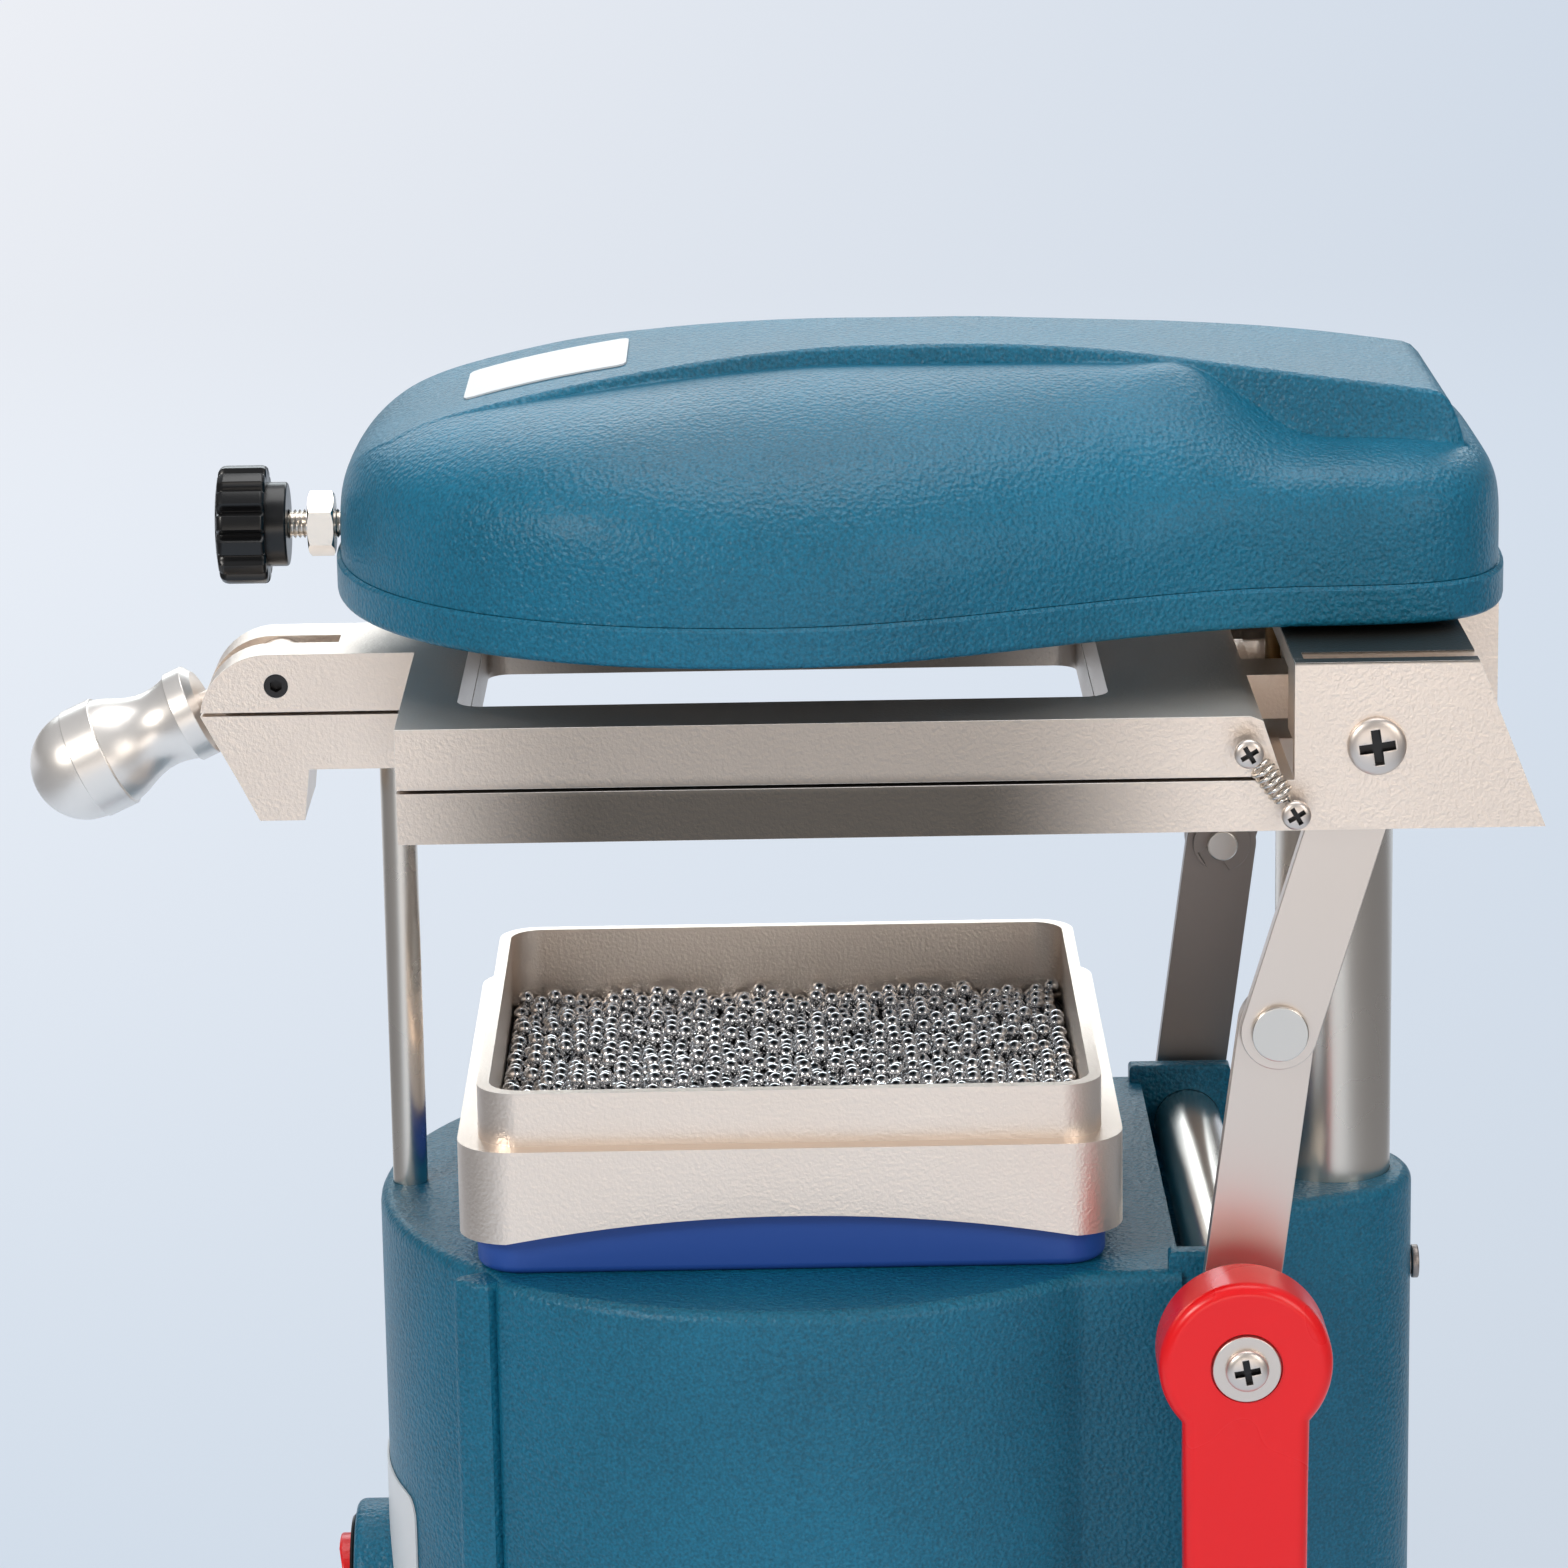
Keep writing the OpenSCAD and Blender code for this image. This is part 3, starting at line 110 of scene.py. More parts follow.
bpy.ops.mesh.primitive_plane_add(size=24, location=(0, 0, 0))
bench = bpy.context.active_object
bench.name = "bench"
bench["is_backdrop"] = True


def node_tree(name):
    """A new material with a Principled shader, its nodes and a maker of nodes."""
    made = bpy.data.materials.new(name)
    made.use_nodes = True
    tree = made.node_tree
    shader = tree.nodes["Principled BSDF"]

    def add(kind, **values):
        node = tree.nodes.new(kind)
        for key, value in values.items():
            if key in node.inputs.keys():
                node.inputs[key].default_value = value
            else:
                setattr(node, key, value)
        return node

    return made, tree, shader, add


# The bench shows the pale blue of the picture's background, lighter to the far
# left. It shows in reflections too, and it keeps a part of the shadows.
glow_x, glow_z = 0.961, 0.449
bench_glow = 0.88
bench_paint, tree, shader, add = node_tree("bench_paint")
shader.inputs["Base Color"].default_value = (0.60, 0.66, 0.74, 1)
shader.inputs["Roughness"].default_value = 0.7
shader.inputs["Specular IOR Level"].default_value = 0.1
where = add("ShaderNodeTexCoord")
split = add("ShaderNodeSeparateXYZ")
back = add("ShaderNodeMath", operation="SUBTRACT")
back.inputs[0].default_value = glow_x
down = add("ShaderNodeMath", operation="ARCTAN2")
down.inputs[0].default_value = glow_z
aside = add("ShaderNodeMath", operation="ARCTAN2")
nearer = add("ShaderNodeMapRange")
nearer.inputs["From Min"].default_value = 0.11
nearer.inputs["From Max"].default_value = 0.38
righter = add("ShaderNodeMapRange")
righter.inputs["From Min"].default_value = -0.135
righter.inputs["From Max"].default_value = 0.135
sides = []
for far_color, near_color in (
    ((0.93, 0.95, 1.0), (0.65, 0.73, 0.83)),
    ((0.70, 0.775, 0.88), (0.63, 0.70, 0.79)),
):
    side = add("ShaderNodeMix", data_type="RGBA")
    side.inputs[6].default_value = (*far_color, 1)
    side.inputs[7].default_value = (*near_color, 1)
    sides.append(side)
whole = add("ShaderNodeMix", data_type="RGBA")
glow = add("ShaderNodeEmission", Strength=1.0)
path = add("ShaderNodeLightPath")
mirrored = add("ShaderNodeMath", operation="MAXIMUM")
seen = add("ShaderNodeMath", operation="MAXIMUM")
share = add("ShaderNodeMath", operation="MULTIPLY")
share.inputs[1].default_value = bench_glow
mix = add("ShaderNodeMixShader")
# Painted reflection: for glossy rays only, the bench turns dark in strips to the left and right of the
# machine, so metal mirrors dark strips as if from black cards.
painted_dark_reflection = add("ShaderNodeMix", data_type="RGBA")
painted_dark_reflection.inputs[7].default_value = (0.10, 0.085, 0.075, 1)
off_middle = add("ShaderNodeMath", operation="ABSOLUTE")
strip = add("ShaderNodeMapRange", interpolation_type="SMOOTHSTEP")
strip.inputs["From Min"].default_value = 0.22
strip.inputs["From Max"].default_value = 0.45
strip.inputs["To Max"].default_value = 0.85
beside = add("ShaderNodeMapRange")
beside.inputs["From Min"].default_value = -0.7
beside.inputs["From Max"].default_value = -0.4
dark_strip_mask = add("ShaderNodeMath", operation="MULTIPLY")
in_metal = add("ShaderNodeMath", operation="MULTIPLY")
link = tree.links.new
link(where.outputs["Object"], split.inputs[0])
link(split.outputs["Y"], off_middle.inputs[0])
link(off_middle.outputs[0], strip.inputs["Value"])
link(split.outputs["X"], beside.inputs["Value"])
link(strip.outputs[0], dark_strip_mask.inputs[0])
link(beside.outputs[0], dark_strip_mask.inputs[1])
link(dark_strip_mask.outputs[0], in_metal.inputs[0])
link(path.outputs["Is Glossy Ray"], in_metal.inputs[1])
link(in_metal.outputs[0], painted_dark_reflection.inputs[0])
link(split.outputs["X"], back.inputs[1])
link(back.outputs[0], down.inputs[1])
link(split.outputs["Y"], aside.inputs[0])
link(back.outputs[0], aside.inputs[1])
link(down.outputs[0], nearer.inputs["Value"])
link(aside.outputs[0], righter.inputs["Value"])
for side in sides:
    link(nearer.outputs[0], side.inputs[0])
link(righter.outputs[0], whole.inputs[0])
link(sides[0].outputs[2], whole.inputs[6])
link(sides[1].outputs[2], whole.inputs[7])
link(whole.outputs[2], painted_dark_reflection.inputs[6])
link(painted_dark_reflection.outputs[2], glow.inputs["Color"])
link(path.outputs["Is Glossy Ray"], mirrored.inputs[0])
link(path.outputs["Is Transmission Ray"], mirrored.inputs[1])
link(path.outputs["Is Camera Ray"], seen.inputs[0])
link(mirrored.outputs[0], seen.inputs[1])
link(seen.outputs[0], share.inputs[0])
link(share.outputs[0], mix.inputs[0])
link(shader.outputs[0], mix.inputs[1])
link(glow.outputs[0], mix.inputs[2])
link(mix.outputs[0], tree.nodes["Material Output"].inputs[0])
bench.data.materials.append(bench_paint)

# The room: pale blue from above, a dull warm grey below.
world = bpy.data.worlds.new("studio")
scene.world = world
world.use_nodes = True
sky = world.node_tree
spot = sky.nodes.new("ShaderNodeTexCoord")
split = sky.nodes.new("ShaderNodeSeparateXYZ")
ramp = sky.nodes.new("ShaderNodeValToRGB")
ramp.color_ramp.elements[0].position = 0.0
ramp.color_ramp.elements[0].color = (0.30, 0.29, 0.28, 1)
ramp.color_ramp.elements[1].position = 0.55
ramp.color_ramp.elements[1].color = (0.86, 0.90, 0.96, 1)
sky.links.new(spot.outputs["Generated"], split.inputs[0])
sky.links.new(split.outputs["Z"], ramp.inputs[0])
sky.links.new(ramp.outputs[0], sky.nodes["Background"].inputs[0])
sky.nodes["Background"].inputs[1].default_value = 0.38

# Base housing: one thick light-metal casting in teal powder coat, open below, with a
# column for the rear post, two ears for the lift shaft and two pods for the switches.
# The post, the rod, the duct and the shaft run in bored holes.
base_top = 140
post_y, rod_y = 94, -65.9
shaft_y, shaft_z = 72.6, 132.4
switch_heights = (66, 30)


def textured_coat(name, color, grain=1150, depth=0.00045, rough=0.36):
    """Powder coat or cast skin: pebbled at about a millimetre, flecked and faintly mottled."""
    made, tree, shader, add = node_tree(name)
    where = add("ShaderNodeTexCoord")
    cells = add("ShaderNodeTexVoronoi", feature="SMOOTH_F1", Scale=grain, Smoothness=0.6)
    specks = add("ShaderNodeTexNoise", Scale=grain * 1.7, Detail=2.0)
    clouds = add("ShaderNodeTexNoise", Scale=26.0, Detail=3.0)
    blend = add("ShaderNodeMix", data_type="FLOAT")
    blend.inputs[0].default_value = 0.45
    bump = add("ShaderNodeBump", Strength=0.85, Distance=depth)
    flecks = add("ShaderNodeMix", data_type="FLOAT")
    flecks.inputs[0].default_value = 0.65
    tone = add("ShaderNodeValToRGB")
    tone.color_ramp.elements[0].position = 0.32
    tone.color_ramp.elements[0].color = (*[c * 0.64 for c in color], 1)
    tone.color_ramp.elements[1].position = 0.68
    tone.color_ramp.elements[1].color = (*[min(1, c * 1.36) for c in color], 1)
    gloss = add("ShaderNodeMapRange")
    gloss.inputs["To Min"].default_value = rough - 0.05
    gloss.inputs["To Max"].default_value = rough + 0.07
    link = tree.links.new
    for node in (cells, specks, clouds):
        link(where.outputs["Object"], node.inputs["Vector"])
    link(cells.outputs["Distance"], blend.inputs[2])
    link(specks.outputs["Fac"], blend.inputs[3])
    link(blend.outputs[0], bump.inputs["Height"])
    link(clouds.outputs["Fac"], flecks.inputs[2])
    link(specks.outputs["Fac"], flecks.inputs[3])
    link(flecks.outputs[0], tone.inputs["Fac"])
    link(clouds.outputs["Fac"], gloss.inputs["Value"])
    link(tone.outputs["Color"], shader.inputs["Base Color"])
    link(gloss.outputs["Result"], shader.inputs["Roughness"])
    link(bump.outputs["Normal"], shader.inputs["Normal"])
    return made, shader


teal_coat, shader = textured_coat("teal_coat", (0.006, 0.142, 0.242))
shader.inputs["Specular IOR Level"].default_value = 0.38
shader.inputs["Coat Weight"].default_value = 0.06
shader.inputs["Coat Roughness"].default_value = 0.25


def let_go():
    """Back to object mode with nothing selected."""
    if bpy.context.object and bpy.context.object.mode != "OBJECT":
        bpy.ops.object.mode_set(mode="OBJECT")
    bpy.ops.object.select_all(action="DESELECT")


def hold(piece):
    """Only this piece is selected and active."""
    let_go()
    piece.select_set(True)
    bpy.context.view_layer.objects.active = piece
    return piece


def fix_place(piece):
    """The piece's place, turn and size go into its mesh."""
    hold(piece)
    bpy.ops.object.transform_apply(location=True, rotation=True, scale=True)
    return piece


def block(name, x, y, z):
    """A block between low and high X, Y and Z in millimetres."""
    let_go()
    bpy.ops.mesh.primitive_cube_add(size=1)
    piece = bpy.context.active_object
    piece.name = name
    spans = (x, y, z)
    piece.location = [(a + b) / 2000 for a, b in spans]
    piece.scale = [abs(b - a) / 1000 for a, b in spans]
    return fix_place(piece)


def rod(name, along, radius, start, end, across, sides=64):
    """A round bar along X, Y or Z; across gives its place on the other two axes, in millimetres."""
    let_go()
    bpy.ops.mesh.primitive_cylinder_add(
        vertices=sides, radius=radius / 1000, depth=abs(end - start) / 1000)
    piece = bpy.context.active_object
    piece.name = name
    middle = (start + end) / 2000
    a, b = across[0] / 1000, across[1] / 1000
    piece.location = {"X": (middle, a, b), "Y": (a, middle, b), "Z": (a, b, middle)}[along]
    piece.rotation_euler = {"X": (0, math.pi / 2, 0), "Y": (math.pi / 2, 0, 0), "Z": (0, 0, 0)}[along]
    return fix_place(piece)


def face_out(piece):
    """All faces of a closed piece point outwards."""
    hold(piece)
    bpy.ops.object.mode_set(mode="EDIT")
    bpy.ops.mesh.select_all(action="SELECT")
    bpy.ops.mesh.normals_make_consistent(inside=False)
    bpy.ops.object.mode_set(mode="OBJECT")
    return piece


def outline_block(name, points, low, high, along="Z"):
    """A closed outline in millimetres, extruded along Z, or along X from a Y, Z outline, or along Y."""
    let_go()
    bpy.ops.mesh.primitive_circle_add(vertices=len(points), fill_type="NGON")
    piece = bpy.context.active_object
    piece.name = name
    turn = {
        "X": lambda a, b, c: (c, a, b),
        "Y": lambda a, b, c: (a, c, b),
        "Z": lambda a, b, c: (a, b, c),
    }[along]
    for vertex, (a, b) in zip(piece.data.vertices, points):
        vertex.co = Vector(turn(a, b, low)) / 1000
    bpy.ops.object.mode_set(mode="EDIT")
    bpy.ops.mesh.select_all(action="SELECT")
    rise = Vector(turn(0, 0, high - low)) / 1000
    bpy.ops.mesh.extrude_region_move(TRANSFORM_OT_translate={"value": rise})
    return face_out(piece)


def bevel_edges(piece, chosen, width, steps=3):
    """Rounds the edges whose two ends pass the test, by a width in millimetres."""
    hold(piece)
    bpy.ops.object.mode_set(mode="EDIT")
    bpy.ops.mesh.select_mode(type="EDGE")
    bpy.ops.mesh.select_all(action="DESELECT")
    shape = bmesh.from_edit_mesh(piece.data)
    for edge in shape.edges:
        edge.select = all(chosen(v.co * 1000) for v in edge.verts) and len(edge.link_faces) == 2 and (
            edge.calc_face_angle(0) > 0.5)
    bmesh.update_edit_mesh(piece.data)
    bpy.ops.mesh.bevel(offset=width / 1000, segments=steps, affect="EDGES")
    bpy.ops.object.mode_set(mode="OBJECT")
    return piece


def join_in(piece, other, how="DIFFERENCE"):
    """Cuts one closed piece with another, or melts it in with how=UNION."""
    hold(piece)
    cut = piece.modifiers.new("cut", "BOOLEAN")
    cut.operation = how
    cut.solver = "EXACT"
    cut.object = other
    bpy.ops.object.modifier_apply(modifier="cut")
    bpy.data.objects.remove(other)
    return piece


def soften(piece, width=0.4, steps=2, angle=35, smooth=38):
    """Rounds every sharp edge by a width in millimetres and smooths the shading.

    Where the piece has a second material, the new faces along the edges take it.
    """
    hold(piece)
    if width:
        edge = piece.modifiers.new("edge", "BEVEL")
        edge.width = width / 1000
        edge.segments = steps
        edge.limit_method = "ANGLE"
        edge.angle_limit = math.radians(angle)
        edge.miter_outer = "MITER_ARC"
        if len(piece.data.materials) > 1:
            edge.material = 1
        bpy.ops.object.modifier_apply(modifier="edge")
    bpy.ops.object.shade_smooth_by_angle(angle=math.radians(smooth))
    even = piece.modifiers.new("even", "WEIGHTED_NORMAL")
    even.keep_sharp = True
    even.weight = 80
    bpy.ops.object.modifier_apply(modifier="even")
    return piece


def settle(piece, body, slot, material, *nodes):
    """The finished piece takes its material, rides on its body and stands for its CAD nodes."""
    fix_place(piece)
    if len(piece.data.materials) > 1:
        piece.data.materials[0] = material
    else:
        piece.data.materials.clear()
        piece.data.materials.append(material)
    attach(piece, body)
    if nodes:
        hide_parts(*nodes)
    return piece


def arc(cx, cy, r, start, end, count):
    """Points on an arc, from a start to an end angle in degrees."""
    return [(cx + r * math.cos(math.radians(start + (end - start) * i / count)),
             cy + r * math.sin(math.radians(start + (end - start) * i / count))) for i in range(count + 1)]


half_drum = arc(0, 0, 71, -90, -45.5, 15) + arc(0, 0, 74, -40.6, 40.45, 34)
half_drum += [(56.3, 60), (56.3, 80.5)]
drum = half_drum[1:] + [(-x, y) for x, y in reversed(half_drum)]
housing = outline_block("cast_base", drum, 6, base_top)
bevel_edges(housing, lambda v: v.z > base_top - 0.1 or (v.y > 80.4 and abs(v.x) > 56), 2.2, 5)
column = [(-29, 66), (29, 66), (22.9, 80.5)] + arc(0, 90.2, 17.5, 21.1, 158.9, 28) + [(-22.9, 80.5)]
column = outline_block("column", column, 6, base_top)
bevel_edges(column, lambda v: v.z > base_top - 0.1, 2.2, 5)
join_in(housing, column, "UNION")
for side in (-1, 1):
    corner = [(48.6, -53.1), (49.7, -55.1), (51.2, -55.9), (52.6, -55.3)]
    corner += [(54.2, -52.6), (55.5, -50.0), (52, -46), (46, -48)]
    corner = outline_block("corner", [(side * x, y) for x, y in corner], 6, 139.4)
    bevel_edges(corner, lambda v: v.z > 139.3, 0.9, 3)
    join_in(housing, corner, "UNION")
join_in(housing, rod("hollow", "Z", 66, -5, 118, (0, -2), 96))
join_in(housing, block("trough", (-62, 62), (64, 80.6), (122, 150)))
for side in (-1, 1):
    ear = block("ear", sorted((side * 51, side * 55)), (62, 80.4), (118, 143))
    bevel_edges(ear, lambda v: v.z > 142.9, 0.9, 3)
    join_in(housing, ear, "UNION")
for z in switch_heights:
    pod = rod("pod", "Y", 14.5, -77.4, -62, (0, z), 96)
    bevel_edges(pod, lambda v: v.y < -77.3, 1.6, 4)
    join_in(housing, pod, "UNION")
    join_in(housing, rod("bore", "Y", 10.9, -80, -69.4, (0, z), 96))
join_in(housing, rod("shaft_bore", "X", 6.06, -60, 60, (shaft_y, shaft_z)))
join_in(housing, rod("post_bore", "Z", 10.06, 60, 150, (0, post_y), 96))
join_in(housing, rod("rod_bore", "Z", 3.06, 20, 150, (0, rod_y)))
join_in(housing, rod("duct_bore", "Z", 12.3, 100, 150, (0, 0)))
join_in(housing, block("inlet_bore", (-54.3, -26.7), (66, 90), (19.8, 40.2)))
soften(housing, 0.45, 2, 48, 42)
settle(housing, "base", "housing_paint", teal_coat, "base_housing")

# Head: a pressed cover over a cast skirt, both in the same teal coat. The
# cover has two full lobes over the heater, low shoulders at the rear, and a
# flat-topped spine that widens to both ends. It sits on the skirt's ledge.
head_front, head_rear = -74.6, 119.6
lip, cover_foot, skirt_top, skirt_foot = 253.2, 252.9, 252.8, 246.2
lobe_top, shoulder_top, spine_height = 286.0, 273.5, 287.7


def step01(t):
    """A smooth step from 0 to 1."""
    t = max(0.0, min(1.0, t))
    return t * t * (3 - 2 * t)


def side_half(y, inset):
    """Half the head's width, which narrows from the lobes to the rear."""
    return 48 - inset + 24.5 * (1 - step01(y / 85))


def end_ratio(y, inset):
    """How far y is on its way to the head's front or rear end, from 0 to 1."""
    if y < 0:
        return y / (head_front + inset)
    return max(0.0, (y - 78) / (head_rear - inset - 78))


def end_power(y):
    return 2.2 if y < 0 else 4.5


def outline_half(y, inset):
    """Half the width of the head's outline, which closes at both ends."""
    n = end_power(y)
    return side_half(max(0, y), inset) * max(0.0, 1 - end_ratio(y, inset) ** n) ** (1 / n)


def head_stations(count, inset):
    """Places along the head, closer together at its ends."""
    places = []
    for i in range(1, count):
        c = -math.cos(math.pi * (i - 0.7) / (count - 1.4))
        places.append(-c * (head_front + inset) if c < 0 else c * (head_rear - inset))
    return places


def crest(x, y):
    """The height of the lobes, and of the shoulders behind them."""
    s = step01((y - 72 + 0.45 * abs(x)) / 30)
    dip = 3 * (1 - step01(abs(x) / 26)) + 3.8 * step01((10 - y) / 60)
    return (lobe_top - dip) * (1 - s) + shoulder_top * s


def cover_height(x, y, inset):
    """The crest, rounded down to the lip all round."""
    n = end_power(y)
    r = min(1.0, ((abs(x) / side_half(max(0, y), inset)) ** n + end_ratio(y, inset) ** n) ** (1 / n))
    p = 2.6 + 1.3 * step01(-y / 40) + 2.9 * step01((y - 55) / 30)
    return lip + (crest(x, y) - lip) * max(0.0, 1 - r ** p) ** (1 / p)


def spine_half(y):
    """Half the width of the spine's flat top."""
    if y < 20:
        return 15 + 10 * step01((20 - y) / 66)
    return 15 + 10 * step01((y - 40) / 56)


def spine_top(y, inset):
    """The height of the spine, which falls to both ends."""
    fall = 5.5 * step01((14 - y) / 80) if y < 14 else 7 * (max(0, y - 30) / 76) ** 1.6
    y_end = head_rear - inset - 5
    u, n = (end_ratio(y, inset), 3.2) if y < 0 else (max(0.0, (y - y_end + 7) / 7), 2.6)
    return lip + (spine_height - fall - lip) * max(0.0, 1 - min(1, u) ** n) ** (1 / n)


def head_height(x, y, inset):
    """The lobes and shoulders, with the spine melted into them by small fillets."""
    base = cover_height(x, y, inset)
    s = min(spine_half(y), 0.62 * outline_half(y, inset))
    top = spine_top(y, inset)
    d = abs(x) - s
    edge = 1.4
    if d > -edge:
        reach = min(d + edge, edge * 0.985)
        top -= edge - math.sqrt(edge * edge - reach * reach)
        top -= max(0.0, d + edge * 0.015) * 5.6
    k = 1.1
    h = max(k - abs(base - top), 0) / k
    return max(base, top, lip) + h * h * k / 4 * min(1, (base - lip) / 2)


def head_columns(y, inset):
    """Places across half the head, close together at the edge of the spine."""
    w = outline_half(y, inset)
    s = min(spine_half(y), 0.62 * w)
    near = [0, 0.4 * s, 0.75 * s] + [s - d for d in (2.0, 1.4, 1.0, 0.7, 0.4, 0.15)]
    near = [x for x in near[:3] if x < s - 2.1] + near[3:] if s > 3 else [s * i / 9 for i in range(9)]
    while len(near) < 9:
        near.insert(1, near[1] / 2 if near[1] > 0 else 0.01)
    foot = [s + d * min(1, w / 40) for d in (0.1, 0.5, 1.0, 1.8, 3.0)]
    start = foot[-1]
    side = [start + (w - start) * math.sin(math.pi / 2 * t / 26) for t in range(1, 27)]
    return near + foot + side


def thicken(piece, depth, to_side):
    """A sheet gets its thickness in millimetres, inwards with -1 and outwards with 1."""
    hold(piece)
    wall = piece.modifiers.new("wall", "SOLIDIFY")
    wall.thickness = depth / 1000
    wall.offset = to_side
    bpy.ops.object.modifier_apply(modifier="wall")
    return piece


inset = 0.8
knob_z = 256.4
ys = head_stations(110, inset)
half_count = len(head_columns(0, inset))
let_go()
bpy.ops.mesh.primitive_grid_add(x_subdivisions=2 * half_count - 2, y_subdivisions=len(ys) - 1, size=1)
cover = bpy.context.active_object
cover.name = "head_shell"
across = 2 * half_count - 1
for row, y in enumerate(ys):
    half = head_columns(y, inset)
    xs = [-x for x in reversed(half)] + half[1:]
    for col, x in enumerate(xs):
        at_lip = col in (0, across - 1) or row in (0, len(ys) - 1)
        z = cover_foot if at_lip else head_height(x, y, inset)
        cover.data.vertices[row * across + col].co = (x / 1000, y / 1000, z / 1000)
face_out(cover)
if cover.data.polygons[len(cover.data.polygons) // 2].normal.z < 0:
    hold(cover)
    bpy.ops.object.mode_set(mode="EDIT")
    bpy.ops.mesh.flip_normals()
    bpy.ops.object.mode_set(mode="OBJECT")
thicken(cover, 2.4, -1)
join_in(cover, rod("stud_hole", "Y", 2.7, -90, -60, (0, knob_z), 32))
soften(cover, 0, smooth=50)
settle(cover, "head", "housing_paint", teal_coat, "head_cover")

ring = [(outline_half(y, 0), y) for y in head_stations(90, 0)]
skirt = outline_block("head_rim", ring + [(-x, y) for x, y in reversed(ring)], skirt_foot, skirt_top)
bevel_edges(skirt, lambda v: v.z < skirt_foot + 0.1, 1.3, 4)
bevel_edges(skirt, lambda v: v.z > skirt_top - 0.1, 0.6, 1)
ring = [(outline_half(y, 3), y) for y in head_stations(60, 3)]
join_in(skirt, outline_block("inside", ring + [(-x, y) for x, y in reversed(ring)], 248.7, 260))
join_in(skirt, rod("heater_hole", "Z", 56, 240, 260, (0, 0), 128))
join_in(skirt, rod("hub_hole", "Z", 13.3, 240, 260, (0, post_y), 64))
join_in(skirt, block("stud_block", (-7, 7), (-69.5, -61.9), (247, 260.4)), "UNION")
join_in(skirt, rod("stud_bore", "Y", 2.52, -80, -50, (0, knob_z), 32))
soften(skirt, 0, smooth=40)
settle(skirt, "head", "housing_paint", teal_coat, "head_skirt")

# Sheet frames, carriage, cup, hub and latch: light-metal castings with a fine skin,
# satin nickel plated. The edges are broken by hand, and their bevels take a paler,
# less metallic finish as a painted highlight.


def satin_metal(name, color, rough, grain=1500, depth=0.00004, streak=None, painted_shade=None):
    """Plated or polished metal: a fine skin or drawn lines, and faint clouds in the gloss.

    With a painted shade colour, the middles of the long bars between the ends of a frame, most on the
    lower frame under the upper one, and the top of the carriage under the head take that darker tone as
    painted shade.
    """
    made, tree, shader, add = node_tree(name)
    shader.inputs["Base Color"].default_value = (*color, 1)
    shader.inputs["Metallic"].default_value = 1
    where = add("ShaderNodeTexCoord")
    stretch = add("ShaderNodeMapping")
    stretch.inputs["Scale"].default_value = streak or (1, 1, 1)
    skin = add("ShaderNodeTexNoise", Scale=grain, Detail=3.0)
    clouds = add("ShaderNodeTexNoise", Scale=40.0, Detail=4.0)
    gloss = add("ShaderNodeMapRange")
    gloss.inputs["To Min"].default_value = rough - 0.05
    gloss.inputs["To Max"].default_value = rough + 0.08
    bump = add("ShaderNodeBump", Strength=0.5, Distance=depth)
    link = tree.links.new
    link(where.outputs["Object"], stretch.inputs["Vector"])
    link(stretch.outputs["Vector"], skin.inputs["Vector"])
    link(where.outputs["Object"], clouds.inputs["Vector"])
    link(clouds.outputs["Fac"], gloss.inputs["Value"])
    link(gloss.outputs["Result"], shader.inputs["Roughness"])
    link(skin.outputs["Fac"], bump.inputs["Height"])
    link(bump.outputs["Normal"], shader.inputs["Normal"])
    # Painted shade: the middles of the bars and the carriage top are mixed towards the shade colour.
    if painted_shade:
        split = add("ShaderNodeSeparateXYZ")
        along = add("ShaderNodeMath", operation="ABSOLUTE")
        ends = add("ShaderNodeMapRange", interpolation_type="SMOOTHSTEP")
        ends.inputs["From Min"].default_value = 0.074
        ends.inputs["From Max"].default_value = 0.030
        lower = add("ShaderNodeMapRange", interpolation_type="SMOOTHSTEP")
        lower.inputs["From Min"].default_value = 0.2285
        lower.inputs["From Max"].default_value = 0.2250
        lower.inputs["To Min"].default_value = 0.60
        share = add("ShaderNodeMath", operation="MULTIPLY")
        top = add("ShaderNodeMapRange")
        top.inputs["From Min"].default_value = tops - 0.0005
        top.inputs["From Max"].default_value = tops - 0.0001
        top.inputs["To Max"].default_value = 1.0
        either = add("ShaderNodeMath", operation="MAXIMUM")
        tone = add("ShaderNodeMix", data_type="RGBA")
        tone.inputs[6].default_value = (*color, 1)
        tone.inputs[7].default_value = (*painted_shade, 1)
        link(where.outputs["Object"], split.inputs[0])
        link(split.outputs["Y"], along.inputs[0])
        link(along.outputs[0], ends.inputs["Value"])
        link(split.outputs["Z"], lower.inputs["Value"])
        link(ends.outputs[0], share.inputs[0])
        link(lower.outputs[0], share.inputs[1])
        link(split.outputs["Z"], top.inputs["Value"])
        link(share.outputs[0], either.inputs[0])
        link(top.outputs[0], either.inputs[1])
        link(either.outputs[0], tone.inputs[0])
        link(tone.outputs[2], shader.inputs["Base Color"])
    return made


champagne = (0.95, 0.84, 0.75)
# Painted highlight: a paler, less metallic finish for the rounded edges, so that they read as bright
# lines.
painted_edge_highlight = satin_metal("painted_edge_highlight", (1.0, 0.95, 0.90), 0.3, 900, 0.00002)
painted_edge_highlight.node_tree.nodes["Principled BSDF"].inputs["Metallic"].default_value = 0.2
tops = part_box("carriage_block")[1][2]
cast_nickel = satin_metal("cast_nickel", champagne, 0.38, 1700, 0.00017)
# The frames carry painted shade on their long bars and on the carriage top.
frame_nickel = satin_metal("frame_nickel", champagne, 0.38, 1700, 0.0002, painted_shade=(0.13, 0.115, 0.10))


